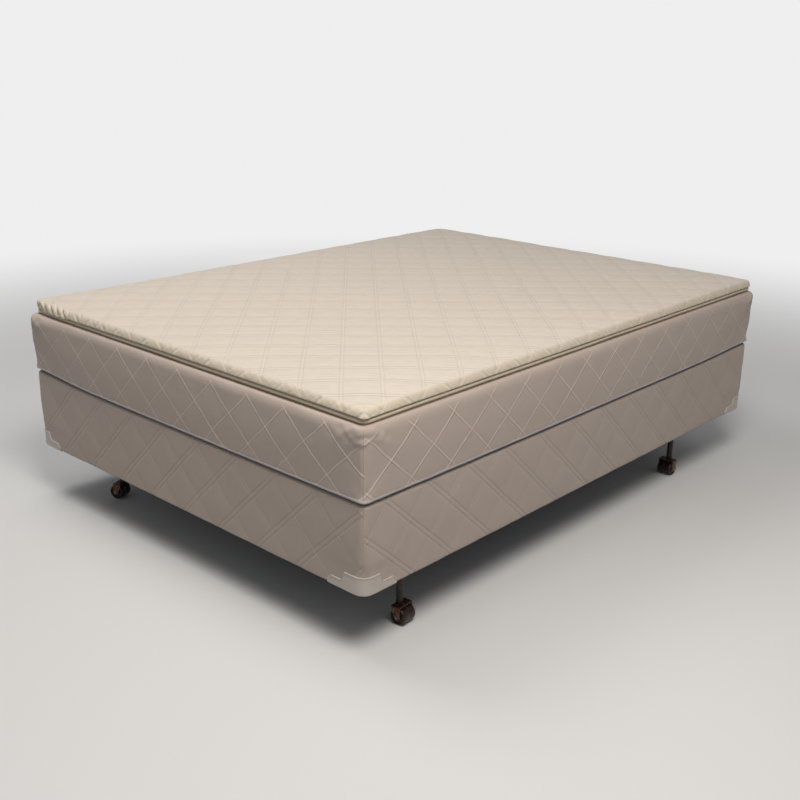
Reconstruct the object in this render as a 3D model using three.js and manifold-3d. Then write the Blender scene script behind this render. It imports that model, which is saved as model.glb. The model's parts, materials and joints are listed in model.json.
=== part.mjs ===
import * as THREE from 'three';
import { mergeVertices } from 'three/addons/utils/BufferGeometryUtils.js';
import Module from 'manifold-3d';

const wasm = await Module();
wasm.setup();

// Axes and units: millimetres, X along the bed towards its head, Y across it, Z up from the floor.
// Right is the -Y side and left the +Y side, as seen from the foot of the bed.

// Whole bed
const bedLength = 2032;
const bedWidth = 1524;
const bedCornerRadius = 28;
const leastCornerRadius = 8;
const foundationClearance = 184;
const foundationHeight = 246;
const borderHeight = 204;
const zipperBandHeight = 18;
const pillowTopThickness = 26;
const seatGap = 0.3;
const runningClearance = 0.3;
const cutOverrun = 5;

// Curve resolution
const cornerSteps = 5;
const roundSides = 12;
const rivetSides = 8;
const rollerSides = 24;

// Steel frame: angle rails with one flange on top and the other turned down
const frameShiftX = -106;
const frameShiftY = -71;
const railEndMargin = 65;
const railLength = bedLength - 2 * (Math.abs(frameShiftX) + railEndMargin);
const railFlange = 32;
const railThickness = 3;
const legEndInset = 120;
const legSpacing = railLength - 2 * legEndInset;
const legStagger = 30;
const legSideInset = 147;
const legAcross = bedWidth - 2 * legSideInset;
const crossRailInset = 135;
const crossRailSpacing = legSpacing - 2 * crossRailInset;
const legDiameter = 20;
const legWall = 1.6;
const legPlateLength = 64;
const legPlateThickness = 3;
const rivetShankDiameter = 6;
const rivetHeadDiameter = 11;
const rivetHeadHeight = 2.5;
const rivetSpacing = 40;
const rivetDrop = 22;
const bracketHoleDiameter = 9;
const bracketHoleInset = 20;
const bracketHoleSpacing = 25;

// Casters: wide rollers in strap yokes, each with a stem that turns in a socket
const rollerDiameter = 50;
const rollerWidth = 50;
const rollerEdge = 3;
const rollerDish = 2;
const casterTrail = 12;
const yokeThickness = 2.5;
const yokeTopClearance = 3;
const yokeSideClearance = 0.8;
const yokeLeafRadius = 10;
const yokeFrontReach = 9;
const yokeBackReach = 20;
const stemDiameter = 8;
const stemLength = 36;
const stemCollarDiameter = 19;
const stemCollarHeight = 3;
const socketLength = 40;
const socketFlangeDiameter = 22;
const socketFlangeHeight = 2;
const axleDiameter = 6;
const axleHeadDiameter = 10;
const axleHeadHeight = 2;

// Centre support
const glideDiameter = 50;
const glideHeight = 16;
const glideEdge = 4;
const glideStemDiameter = 15;
const glideStemLength = 45;
const centreLegPlateWidth = 34;

// Box foundation
const foundationFabric = 2.5;
const foundationTopEdge = 10;
const dustCoverThickness = 1.5;
const boardThickness = 19;
const deckThickness = 12;
const beamThickness = 38;

// Corner guards, each wrapped round a bottom corner of the foundation
const guardThickness = 2.4;
const guardTabHeight = 50;
const guardWingHeight = 25;
const guardWingEndHeight = 12;
const guardTabHalfWidth = 46;
const guardStepHalfWidth = 58;
const guardWingShoulderHalfWidth = 80;
const guardHalfWidth = 91;
const guardLipReach = 16;
const guardBoxSide = 200;

// Mattress casing
const borderBulge = 8;
const borderBaseBulge = 3;
const borderShoulderInset = 8;
const borderBulgeDrop = 32;
const borderBaseRadius = 3;
const borderWall = 4;
const bottomPanelThickness = 3;
const edgeTapeThickness = 1.5;
const edgeTapeHeight = 10;
const edgeTapeLift = 1;

// Zipper band between the casing and the pillow top
const zipperTapeInset = 14;
const zipperTapeThickness = 3;
const weltReach = 5;
const weltHeight = 10;
const weltDrop = 1.5;
const sliderLength = 18;
const sliderHeight = 9;
const sliderDepth = 4;
const sliderArmWidth = 3;
const sliderEndReach = 162;
const sliderStart = sliderEndReach - bedWidth / 2;
const pullLength = 28;
const pullHeight = 6;
const pullThickness = 1.4;
const pullPinDiameter = 2;
const pullEyeClearance = 0.4;
const pullEyeWall = 1;

// Pillow top
const pillowInset = 4;
const pillowEdgeInset = 13;
const pillowBaseInset = 9;
const pillowCrown = 6;
const pillowCrownReach = 170;
const pillowCoverThickness = 5;

// Quilting of the pillow top: sewn lines at 45 degrees to its sides, a pitch apart along a side
const quiltPitch = 147;
const quiltDepth = 3.5;
const quiltRisingShift = -40;
const quiltFallingShift = 3;

// Foam tray inside the casing
const baseFoamThickness = 30;
const foamRailTopWidth = 90;
const foamRailBaseWidth = 120;

// Liner, bladder and what it holds
const linerThickness = 1.5;
const linerCornerRadius = 12;
const linerDrop = 8;
const bladderWall = 2;
const bladderDrop = 1.5;
const bladderEdge = 14;
const baffleThickness = 40;
const neckDiameter = 26;
const neckWall = 3;
const neckHeight = 9;
const neckEndReach = 376;
const neckX = neckEndReach - bedLength / 2;
const capClearance = 0.8;
const capWall = 3;
const capTopThickness = 3;
const capGripSides = 12;
const capGripReach = 1.5;
const wellHeadroom = 2;
const wellFingerRoom = 13;

// Heater under the liner
const heaterLength = 1100;
const heaterWidth = 300;
const heaterThickness = 3;
const heaterX = 60;
const glandY = 110;
const glandHeight = 26;
const glandBarrelDiameter = 14;
const glandFlangeDiameter = 24;
const glandFlangeThickness = 2.5;
const glandBoreDiameter = 5;
const leadChannelWidth = 16;

// Levels up from the floor
const floorZ = 0;
const foundationBase = floorZ + foundationClearance;
const foundationTop = foundationBase + foundationHeight;
const borderBase = foundationTop + seatGap;
const borderTop = foundationTop + borderHeight;
const zipperTop = borderTop + zipperBandHeight;
const pillowTop = zipperTop + pillowTopThickness;
const railTop = foundationBase - seatGap;
const flangeUnderside = railTop - railThickness;
const casingFloor = borderBase + bottomPanelThickness;
const baseFoamTop = casingFloor + seatGap + baseFoamThickness;
const linerTop = zipperTop - linerDrop;
const bladderTop = zipperTop - bladderDrop;

// A regular prism's flats lie nearer its axis than its corners, so a roller on a flat stands lower
const rollerReach = (rollerDiameter / 2) * Math.cos(Math.PI / rollerSides);
const axleHeight = floorZ + rollerReach;
const yokeUnderside = axleHeight + rollerDiameter / 2 + yokeTopClearance;
const yokeTop = yokeUnderside + yokeThickness;
const yokeInside = rollerWidth / 2 + yokeSideClearance;
const yokeOutside = yokeInside + yokeThickness;
const socketBase = yokeTop + stemCollarHeight + runningClearance;
const legBase = socketBase + socketFlangeHeight + seatGap;
const legTop = flangeUnderside - seatGap;

// Materials, each with the colour, roughness and metalness of the real surface
function material(color, roughness, metalness) {
  return new THREE.MeshStandardMaterial({ color, roughness, metalness });
}

const materials = {
  knit: material(0xe5dacb, 0.9, 0),
  knitSide: material(0xc9beb0, 0.9, 0),
  edgeTape: material(0xb4b0ac, 0.6, 0),
  zipperTape: material(0xa69c84, 0.8, 0),
  zipperMetal: material(0x8f8674, 0.4, 0.8),
  fibre: material(0xf2efe8, 0.95, 0),
  foam: material(0xe9e2c8, 0.9, 0),
  vinyl: material(0x6f8fa8, 0.35, 0),
  liner: material(0x3d4c58, 0.4, 0),
  water: material(0xa9cfe0, 0.05, 0),
  heater: material(0x2b2b2b, 0.5, 0),
  whitePlastic: material(0xd8d2c9, 0.35, 0),
  blackPlastic: material(0x1a1816, 0.5, 0),
  pine: material(0xc79f68, 0.7, 0),
  plywood: material(0xbb9561, 0.7, 0),
  dustCover: material(0x2a2a2c, 0.95, 0),
  brownSteel: material(0x2a1b15, 0.45, 0.6),
  yokeSteel: material(0x4a2d20, 0.35, 0.8),
  roller: material(0x3a211b, 0.4, 0),
  axleSteel: material(0x8d8a84, 0.3, 0.9),
};

// Solids

// A closed geometry as a solid that can be cut and joined
function solidOf(geometry) {
  geometry.deleteAttribute('normal');
  geometry.deleteAttribute('uv');
  const merged = mergeVertices(geometry);
  const mesh = new wasm.Mesh({
    numProp: 3,
    vertProperties: new Float32Array(merged.attributes.position.array),
    triVerts: new Uint32Array(merged.index.array),
  });
  return new wasm.Manifold(mesh);
}

// The geometry of a solid
function geometryOf(solid) {
  const mesh = solid.getMesh();
  const geometry = new THREE.BufferGeometry();
  geometry.setAttribute('position', new THREE.BufferAttribute(mesh.vertProperties, 3));
  geometry.setIndex(new THREE.BufferAttribute(mesh.triVerts, 1));
  geometry.computeVertexNormals();
  return geometry;
}

// A box given by its lowest and highest corners
function boxBetween(low, high) {
  const size = high.map((value, axis) => value - low[axis]);
  const geometry = new THREE.BoxGeometry(size[0], size[1], size[2]);
  return geometry.translate(...low.map((value, axis) => value + size[axis] / 2));
}

// A solid of revolution about Z, from [radius, height] pairs that start and end on the axis or close
function turned(profile, sides) {
  const points = profile.map(([radius, height]) => new THREE.Vector2(radius, height));
  const geometry = new THREE.LatheGeometry(points, sides);
  return geometry.rotateX(Math.PI / 2);
}

// A round bar about Z
function bar(radius, low, high, sides = roundSides) {
  return turned([[0, low], [radius, low], [radius, high], [0, high]], sides);
}

// An outline drawn in X and Y, extruded along Z from low to high
function extruded(points, low, high) {
  const shape = new THREE.Shape(points.map(([x, y]) => new THREE.Vector2(x, y)));
  const geometry = new THREE.ExtrudeGeometry(shape, { depth: high - low, bevelEnabled: false });
  return geometry.translate(0, 0, low);
}

// An outline drawn in Y and Z, extruded along X from low to high
function extrudedAlongX(points, low, high) {
  const geometry = extruded(points, low, high);
  return geometry.rotateX(Math.PI / 2).rotateZ(Math.PI / 2);
}

// An outline drawn in X and Z, extruded along Y from low to high
function extrudedAlongY(points, low, high) {
  const geometry = extruded(points, -high, -low);
  return geometry.rotateX(Math.PI / 2);
}

// The outline that lies a given distance inside the bed's own, or outside it where negative
function bedOutline(inset, z, cornerRadius = bedCornerRadius - inset) {
  return {
    length: bedLength - 2 * inset,
    width: bedWidth - 2 * inset,
    radius: Math.max(cornerRadius, leastCornerRadius),
    z,
  };
}

// The corner points of a rounded rectangle, counter-clockwise as seen from above
function roundedCorners({ length, width, radius, z }) {
  const points = [];
  for (let corner = 0; corner < 4; corner += 1) {
    const start = (corner * Math.PI) / 2;
    const signX = corner === 0 || corner === 3 ? 1 : -1;
    const signY = corner < 2 ? 1 : -1;
    const centreX = signX * (length / 2 - radius);
    const centreY = signY * (width / 2 - radius);
    for (let step = 0; step <= cornerSteps; step += 1) {
      const angle = start + (step / cornerSteps) * (Math.PI / 2);
      points.push([centreX + radius * Math.cos(angle), centreY + radius * Math.sin(angle), z]);
    }
  }
  return points;
}

// A closed body through a run of rounded rectangles, flat across the first one and the last one
function lofted(sections) {
  const rings = sections.map(roundedCorners);
  const count = rings[0].length;
  const positions = rings.flat(2);
  const faces = [];
  for (let ring = 0; ring < rings.length - 1; ring += 1) {
    for (let point = 0; point < count; point += 1) {
      const a = ring * count + point;
      const b = ring * count + ((point + 1) % count);
      faces.push(a, b, b + count, a, b + count, a + count);
    }
  }
  const firstCentre = positions.length / 3;
  const lastCentre = firstCentre + 1;
  const lastRing = (rings.length - 1) * count;
  positions.push(0, 0, sections[0].z, 0, 0, sections[sections.length - 1].z);
  for (let point = 0; point < count; point += 1) {
    const next = (point + 1) % count;
    faces.push(firstCentre, next, point);
    faces.push(lastCentre, lastRing + point, lastRing + next);
  }
  const geometry = new THREE.BufferGeometry();
  geometry.setAttribute('position', new THREE.Float32BufferAttribute(positions, 3));
  geometry.setIndex(faces);
  geometry.computeVertexNormals();
  return geometry;
}

// A ring that follows the bed's outline, through a closed run of [inset, z] points
function bedRing(profile) {
  const rings = profile.map(([inset, z]) => roundedCorners(bedOutline(inset, z)));
  const count = rings[0].length;
  const faces = [];
  for (let ring = 0; ring < rings.length; ring += 1) {
    const start = ring * count;
    const after = ((ring + 1) % rings.length) * count;
    for (let point = 0; point < count; point += 1) {
      const next = (point + 1) % count;
      faces.push(start + point, start + next, after + next, start + point, after + next, after + point);
    }
  }
  const geometry = new THREE.BufferGeometry();
  geometry.setAttribute('position', new THREE.Float32BufferAttribute(rings.flat(2), 3));
  geometry.setIndex(faces);
  geometry.computeVertexNormals();
  return geometry;
}

const bed = new THREE.Group();

function addMesh(parent, name, geometry, look) {
  const mesh = new THREE.Mesh(geometry, look);
  mesh.name = name;
  parent.add(mesh);
  return mesh;
}

// Casing and pillow top profiles, as [inset from the bed's outline, height]

// The casing's outer face: a small base radius, a slow swell and a rounded shoulder
function borderProfile(thickness) {
  const shoulder = borderTop - borderBulgeDrop;
  const swellShares = [0.35, 0.7];
  const bulgeSpan = borderBulge - borderBaseBulge;
  const profile = [[-borderBaseBulge + borderBaseRadius, borderBase]];
  profile.push([-borderBaseBulge, borderBase + borderBaseRadius]);
  for (const share of swellShares) {
    const swell = borderBaseBulge + bulgeSpan * Math.sin((share * Math.PI) / 2);
    profile.push([-swell, borderBase + share * (shoulder - borderBase)]);
  }
  profile.push([-borderBulge, shoulder]);
  const shoulderSteps = 4;
  for (let step = 1; step <= shoulderSteps; step += 1) {
    const angle = (step / shoulderSteps) * (Math.PI / 2);
    const inset = -borderBulge + (borderBulge + borderShoulderInset) * (1 - Math.cos(angle));
    profile.push([inset, shoulder + borderBulgeDrop * Math.sin(angle)]);
  }
  return profile.map(([inset, z]) => [inset + thickness, z]);
}

// The inset of a profile at a height, on the straight between its two nearest points
function insetAt(profile, z) {
  const upper = profile.findIndex((point) => point[1] >= z);
  const [high, low] = [profile[upper], profile[Math.max(upper - 1, 0)]];
  const span = high[1] - low[1];
  return span > 0 ? low[0] + ((high[0] - low[0]) * (z - low[1])) / span : high[0];
}

// The inside of the casing, or the body that fits in it with a clearance
function casingCavity(clearance) {
  const inside = borderProfile(borderWall + clearance);
  const floor = casingFloor + clearance;
  const sections = [bedOutline(inside[0][0], floor)];
  for (const [inset, z] of inside) {
    if (z > floor) {
      sections.push(bedOutline(inset, z));
    }
  }
  const bandInset = zipperTapeInset + zipperTapeThickness + clearance;
  const neck = Math.max(bandInset, inside[inside.length - 1][0]);
  sections[sections.length - 1] = bedOutline(neck, borderTop);
  sections.push(bedOutline(neck, zipperTop));
  return solidOf(lofted(sections));
}

// The pillow top's outer face, from its lower edge round to the flat of its crown
function pillowProfile(thickness) {
  const height = pillowTopThickness - thickness;
  const low = zipperTop + seatGap;
  const sideShares = [0, 0.3, 0.6];
  const profile = sideShares.map((share) => {
    const fullness = Math.sin((Math.PI / 2) * Math.min(1, share / sideShares[1]));
    const inset = pillowBaseInset + (pillowInset - pillowBaseInset) * fullness;
    return [inset + thickness, low + share * (height - seatGap)];
  });
  const edgeSteps = 3;
  const edgeStart = profile[profile.length - 1];
  const edgeRise = pillowTop - thickness - edgeStart[1];
  for (let step = 1; step <= edgeSteps; step += 1) {
    const angle = (step / edgeSteps) * (Math.PI / 2);
    const inset = pillowInset + thickness + (pillowEdgeInset - pillowInset) * (1 - Math.cos(angle));
    profile.push([inset, edgeStart[1] + edgeRise * Math.sin(angle)]);
  }
  const crownSteps = 2;
  for (let step = 1; step <= crownSteps; step += 1) {
    const share = step / crownSteps;
    const inset = pillowEdgeInset + thickness + share * (pillowCrownReach - pillowEdgeInset);
    profile.push([inset, pillowTop - thickness + pillowCrown * Math.sin((share * Math.PI) / 2)]);
  }
  return profile;
}

// Casing: a tub of quilted knit with its bottom panel and a welded gland hole in the head side
function casing() {
  const outer = borderProfile(0).map(([inset, z]) => bedOutline(inset, z));
  const inner = borderProfile(borderWall).reverse();
  const innerWall = inner.filter(([, z]) => z > casingFloor);
  const lastInset = inner[inner.length - 1][0];
  const sections = [
    ...outer,
    ...innerWall.map(([inset, z]) => bedOutline(inset, z)),
    bedOutline(lastInset, casingFloor),
  ];
  const reach = borderWall + glandFlangeDiameter;
  const radius = glandBarrelDiameter / 2 + seatGap;
  const hole = bar(radius, -reach, reach).rotateY(Math.PI / 2);
  hole.translate(bedLength / 2, glandY, borderBase + glandHeight);
  return geometryOf(solidOf(lofted(sections)).subtract(solidOf(hole)));
}

// Edge tape: a band sewn round the casing just above its base
function edgeTape() {
  const profile = borderProfile(0);
  const low = borderBase + borderBaseRadius + edgeTapeLift;
  const high = low + edgeTapeHeight;
  const lowInset = insetAt(profile, low) - seatGap;
  const highInset = insetAt(profile, high) - seatGap;
  return bedRing([
    [lowInset, low],
    [lowInset - edgeTapeThickness, low],
    [highInset - edgeTapeThickness, high],
    [highInset, high],
  ]);
}

// Zipper band: an upright tape with a round welt near its top edge
function zipperBand() {
  const low = borderTop + seatGap;
  const weltTop = zipperTop - weltDrop;
  const weltBase = weltTop - weltHeight;
  const face = zipperTapeInset;
  const profile = [[face + zipperTapeThickness, low], [face, low]];
  const weltSteps = 6;
  for (let step = 0; step <= weltSteps; step += 1) {
    const angle = (step / weltSteps) * Math.PI;
    const z = (weltBase + weltTop) / 2 - (weltHeight / 2) * Math.cos(angle);
    profile.push([face - weltReach * Math.sin(angle), z]);
  }
  profile.push([face, zipperTop], [face + zipperTapeThickness, zipperTop]);
  return bedRing(profile);
}

const weltCentreZ = zipperTop - weltDrop - weltHeight / 2;
const sliderBack = bedLength / 2 - zipperTapeInset + weltReach + seatGap;
const sliderFace = sliderBack + sliderDepth;
const pullEyeRadius = pullPinDiameter / 2 + pullEyeClearance + pullEyeWall;
const pullCentreX = sliderFace + runningClearance + pullEyeRadius;

// Slider: a block on the welt with a post that the pull tab turns on
function zipperSlider() {
  const half = sliderLength / 2;
  const body = solidOf(boxBetween(
    [sliderBack, -half, weltCentreZ - sliderHeight / 2],
    [sliderFace, half, weltCentreZ + sliderHeight / 2],
  ));
  const post = bar(pullPinDiameter / 2, weltCentreZ - sliderHeight / 2, weltCentreZ + sliderHeight / 2);
  post.translate(pullCentreX, 0, 0);
  const armReach = pullCentreX + pullPinDiameter / 2;
  const armHeight = (sliderHeight - pullHeight) / 2 - seatGap;
  const arms = [weltCentreZ - sliderHeight / 2, weltCentreZ + sliderHeight / 2 - armHeight];
  let slider = body.add(solidOf(post));
  for (const low of arms) {
    slider = slider.add(solidOf(boxBetween(
      [sliderFace - seatGap, -sliderArmWidth / 2, low],
      [armReach, sliderArmWidth / 2, low + armHeight],
    )));
  }
  return geometryOf(slider);
}

// Pull tab: a flat strip with an eye round the slider's post
function zipperPull() {
  const eye = bar(pullEyeRadius, -pullHeight / 2, pullHeight / 2);
  const strip = boxBetween(
    [-pullThickness / 2, 0, -pullHeight / 2],
    [pullThickness / 2, pullLength, pullHeight / 2],
  );
  const hole = bar(pullPinDiameter / 2 + pullEyeClearance, -pullHeight, pullHeight);
  const pull = solidOf(eye).add(solidOf(strip)).subtract(solidOf(hole));
  return geometryOf(pull);
}

// The crown's height at a place, by the distance from the bed's nearest side
function crownHeight(x, y) {
  const inset = Math.min(bedLength / 2 - Math.abs(x), bedWidth / 2 - Math.abs(y));
  const share = (inset - pillowEdgeInset) / (pillowCrownReach - pillowEdgeInset);
  return pillowTop + pillowCrown * Math.sin((THREE.MathUtils.clamp(share, 0, 1) * Math.PI) / 2);
}

// A slab with a quilted top: sewn lines cross at the corners of diamonds that swell in the middle
function quiltedSlab(low) {
  const cells = 2 * Math.ceil((bedLength + bedWidth) / (2 * quiltPitch) + 1);
  const positions = [];
  const faces = [];
  const addPoint = (row, column, height) => {
    const difference = quiltRisingShift + (row - cells / 2) * quiltPitch;
    const sum = quiltFallingShift + (column - cells / 2) * quiltPitch;
    const [x, y] = [(sum + difference) / 2, (sum - difference) / 2];
    positions.push(x, y, height(x, y));
  };
  const addCorners = (height) => {
    for (let row = 0; row <= cells; row += 1) {
      for (let column = 0; column <= cells; column += 1) {
        addPoint(row, column, height);
      }
    }
  };
  addCorners((x, y) => crownHeight(x, y) - quiltDepth);
  addCorners(() => low);
  const corner = (row, column) => row * (cells + 1) + column;
  const below = (cells + 1) ** 2;
  for (let row = 0; row < cells; row += 1) {
    for (let column = 0; column < cells; column += 1) {
      const around = [
        corner(row, column),
        corner(row + 1, column),
        corner(row + 1, column + 1),
        corner(row, column + 1),
      ];
      const middle = positions.length / 3;
      addPoint(row + 1 / 2, column + 1 / 2, crownHeight);
      around.forEach((point, index) => faces.push(point, around[(index + 1) % around.length], middle));
      const [a, b, c, d] = around.map((point) => point + below);
      faces.push(a, c, b, a, d, c);
    }
  }
  const addWall = (from, to) => faces.push(from + below, to + below, to, from + below, to, from);
  for (let step = 0; step < cells; step += 1) {
    addWall(corner(step, 0), corner(step + 1, 0));
    addWall(corner(cells, step), corner(cells, step + 1));
    addWall(corner(step + 1, cells), corner(step, cells));
    addWall(corner(0, step + 1), corner(0, step));
  }
  const geometry = new THREE.BufferGeometry();
  geometry.setAttribute('position', new THREE.Float32BufferAttribute(positions, 3));
  geometry.setIndex(faces);
  return solidOf(geometry);
}

// Pillow top cover: an inverted tray of quilted knit
function pillowCover() {
  const side = pillowProfile(0).filter(([inset]) => inset <= pillowEdgeInset);
  const above = pillowTop + pillowCrown + cutOverrun;
  const outer = [...side, [pillowEdgeInset, above]].map(([inset, z]) => bedOutline(inset, z));
  const inner = pillowProfile(pillowCoverThickness);
  const below = [inner[0][0], inner[0][1] - cutOverrun];
  const hollow = [below, ...inner].map(([inset, z]) => bedOutline(inset, z));
  const quilt = quiltedSlab(zipperTop - cutOverrun);
  return geometryOf(solidOf(lofted(outer)).intersect(quilt).subtract(solidOf(lofted(hollow))));
}

function pillowFill() {
  const profile = pillowProfile(pillowCoverThickness + seatGap);
  return lofted(profile.map(([inset, z]) => bedOutline(inset, z)));
}

// Foam tray

// A foam wall's section: upright outside, sloping inside, with the slope moved inwards by a gap
function foamWallSection(side, halfSpan, gap) {
  const low = baseFoamTop + seatGap;
  const topInner = side * (halfSpan - foamRailTopWidth - gap);
  const baseInner = side * (halfSpan - foamRailBaseWidth - gap);
  const outer = side * (halfSpan + borderBulge + cutOverrun);
  return [[outer, low], [outer, zipperTop + cutOverrun], [topInner, zipperTop], [baseInner, low]];
}

// The section with its sloping face carried on past the top and bottom, to cut a neighbour with
function foamWallCutter(side, halfSpan, gap) {
  const [, , top, base] = foamWallSection(side, halfSpan, gap);
  const slope = (top[0] - base[0]) / (top[1] - base[1]);
  const outer = side * (halfSpan + borderBulge + cutOverrun);
  const low = base[1] - cutOverrun;
  const high = top[1] + cutOverrun;
  return [
    [outer, low],
    [outer, high],
    [top[0] + slope * cutOverrun, high],
    [base[0] - slope * cutOverrun, low],
  ];
}

function sideFoam(side, cavity) {
  const reach = bedLength / 2 + borderBulge + cutOverrun;
  const outline = orderedOutline(foamWallSection(side, bedWidth / 2, 0));
  const wall = solidOf(extrudedAlongX(outline, -reach, reach));
  return geometryOf(wall.intersect(cavity));
}

function endFoam(end, cavity) {
  const reach = bedWidth / 2 + borderBulge + cutOverrun;
  const outline = orderedOutline(foamWallSection(end, bedLength / 2, 0));
  let wall = solidOf(extrudedAlongY(outline, -reach, reach)).intersect(cavity);
  const cutterReach = bedLength / 2 + borderBulge + 2 * cutOverrun;
  for (const side of [-1, 1]) {
    const cutter = orderedOutline(foamWallCutter(side, bedWidth / 2, seatGap));
    wall = wall.subtract(solidOf(extrudedAlongX(cutter, -cutterReach, cutterReach)));
  }
  return geometryOf(wall);
}

// An outline turned counter-clockwise where it isn't
function orderedOutline(points) {
  return THREE.ShapeUtils.area(points.map(([x, y]) => ({ x, y }))) < 0 ? [...points].reverse() : points;
}

function baseFoam(cavity) {
  const halfX = bedLength / 2 + borderBulge + cutOverrun;
  const halfY = bedWidth / 2 + borderBulge + cutOverrun;
  const slab = solidOf(boxBetween(
    [-halfX, -halfY, casingFloor],
    [halfX, halfY, baseFoamTop],
  )).intersect(cavity);
  const recessHalfX = heaterLength / 2 + seatGap;
  const recessHalfY = heaterWidth / 2 + seatGap;
  const recess = solidOf(boxBetween(
    [heaterX - recessHalfX, -recessHalfY, baseFoamTop - heaterThickness - seatGap],
    [heaterX + recessHalfX, recessHalfY, baseFoamTop + cutOverrun],
  ));
  const leadChannel = solidOf(boxBetween(
    [heaterX, glandY - leadChannelWidth / 2, borderBase + glandHeight - leadChannelWidth / 2],
    [halfX, glandY + leadChannelWidth / 2, baseFoamTop + cutOverrun],
  ));
  return geometryOf(slab.subtract(recess).subtract(leadChannel));
}

// The clear width between the foam walls at a height, as an inset from the bed's outline
function foamInset(z) {
  const low = baseFoamTop + seatGap;
  const share = (z - low) / (zipperTop - low);
  return foamRailBaseWidth + share * (foamRailTopWidth - foamRailBaseWidth);
}

function trayOutline(gap, z, radius) {
  return bedOutline(foamInset(z) + gap, z, radius);
}

// Safety liner: a tray of vinyl against the foam walls
function safetyLiner() {
  const low = baseFoamTop + seatGap;
  const floor = low + linerThickness;
  return lofted([
    trayOutline(seatGap, low, linerCornerRadius),
    trayOutline(seatGap, linerTop, linerCornerRadius),
    trayOutline(seatGap + linerThickness, linerTop, linerCornerRadius),
    trayOutline(seatGap + linerThickness, floor, linerCornerRadius),
  ]);
}

const bladderBase = baseFoamTop + 2 * seatGap + linerThickness;
const capRadius = neckDiameter / 2 + capClearance + capWall;
const wellRadius = capRadius + capGripReach + wellFingerRoom;
const wellFloor = bladderTop - neckHeight - capTopThickness - wellHeadroom;

// The bladder's outside, or a body inside it with a clearance: rounded lower and upper edges, and
// a well in the top that the filler neck and its cap stand in
function bladderBody(clearance) {
  const gap = 2 * seatGap + linerThickness + clearance;
  const low = bladderBase + clearance;
  const high = bladderTop - clearance;
  const radius = linerCornerRadius + bladderEdge;
  const body = lofted([
    trayOutline(gap + bladderEdge, low, radius),
    trayOutline(gap, low + bladderEdge, radius),
    trayOutline(gap, high - bladderEdge, radius),
    trayOutline(gap + bladderEdge, high, radius),
  ]);
  const well = bar(wellRadius + clearance, wellFloor - clearance, bladderTop + cutOverrun);
  return solidOf(body).subtract(solidOf(well.translate(neckX, 0, 0)));
}

// Bladder: a vinyl skin with a filler neck that opens into it
function bladder() {
  const neckTop = wellFloor + neckHeight;
  const neck = bar(neckDiameter / 2, wellFloor - bladderWall, neckTop).translate(neckX, 0, 0);
  const bore = bar(neckDiameter / 2 - neckWall, wellFloor - 2 * bladderWall, neckTop + cutOverrun);
  bore.translate(neckX, 0, 0);
  const skin = bladderBody(0).subtract(bladderBody(bladderWall)).add(solidOf(neck));
  return geometryOf(skin.subtract(solidOf(bore)));
}

const baffleTop = bladderBase + bladderWall + seatGap + baffleThickness;

function fibreBaffle() {
  const inside = bladderBody(bladderWall + seatGap);
  return geometryOf(inside.intersect(solidOf(boxBetween(
    [-bedLength, -bedWidth, bladderBase],
    [bedLength, bedWidth, baffleTop],
  ))));
}

function waterFill() {
  const inside = bladderBody(bladderWall + seatGap);
  return geometryOf(inside.intersect(solidOf(boxBetween(
    [-bedLength, -bedWidth, baffleTop + seatGap],
    [bedLength, bedWidth, bladderTop],
  ))));
}

// Filler cap: a cup over the neck, with grip ridges round it
function fillCap() {
  const inner = neckDiameter / 2 + capClearance;
  const outer = capRadius;
  const ceiling = neckHeight + runningClearance;
  const top = ceiling + capTopThickness;
  const cup = turned([
    [0, ceiling],
    [inner, ceiling],
    [inner, seatGap],
    [outer, seatGap],
    [outer, top],
    [0, top],
  ], roundSides);
  let cap = solidOf(cup);
  for (let ridge = 0; ridge < capGripSides; ridge += 1) {
    const angle = (ridge / capGripSides) * 2 * Math.PI;
    const rib = bar(capGripReach, seatGap, top, capGripSides / 2);
    rib.translate(outer * Math.cos(angle), outer * Math.sin(angle), 0);
    cap = cap.add(solidOf(rib));
  }
  return geometryOf(cap);
}

function heaterPad() {
  return boxBetween(
    [heaterX - heaterLength / 2, -heaterWidth / 2, baseFoamTop - heaterThickness],
    [heaterX + heaterLength / 2, heaterWidth / 2, baseFoamTop],
  );
}

// Gland for the heater's lead: a flanged bush in the casing's head side
function heaterGland() {
  const centre = borderBase + glandHeight;
  const face = seatGap - insetAt(borderProfile(0), centre + glandFlangeDiameter / 2);
  const back = -insetAt(borderProfile(borderWall), centre);
  const geometry = turned([
    [glandBoreDiameter / 2, back],
    [glandBarrelDiameter / 2, back],
    [glandBarrelDiameter / 2, face],
    [glandFlangeDiameter / 2, face],
    [glandFlangeDiameter / 2, face + glandFlangeThickness],
    [glandBoreDiameter / 2, face + glandFlangeThickness],
    [glandBoreDiameter / 2, back],
  ], roundSides);
  return geometry.rotateY(Math.PI / 2);
}

// Box foundation

const deckTop = foundationTop - foundationFabric - seatGap;
const boardTop = deckTop - deckThickness - seatGap;
const boardBase = foundationBase + dustCoverThickness + seatGap;

// Fabric cover: walls and top in one skin, open below
function foundationCover() {
  const edgeSteps = 3;
  const skin = (thickness) => {
    const profile = [[thickness, foundationBase]];
    const radius = foundationTopEdge - thickness;
    for (let step = 0; step <= edgeSteps; step += 1) {
      const angle = (step / edgeSteps) * (Math.PI / 2);
      const z = foundationTop - foundationTopEdge + radius * Math.sin(angle);
      profile.push([foundationTopEdge - radius * Math.cos(angle), z]);
    }
    return profile.map(([inset, z]) => bedOutline(inset, z));
  };
  return lofted([...skin(foundationFabric).reverse(), ...skin(0)]);
}

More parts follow.
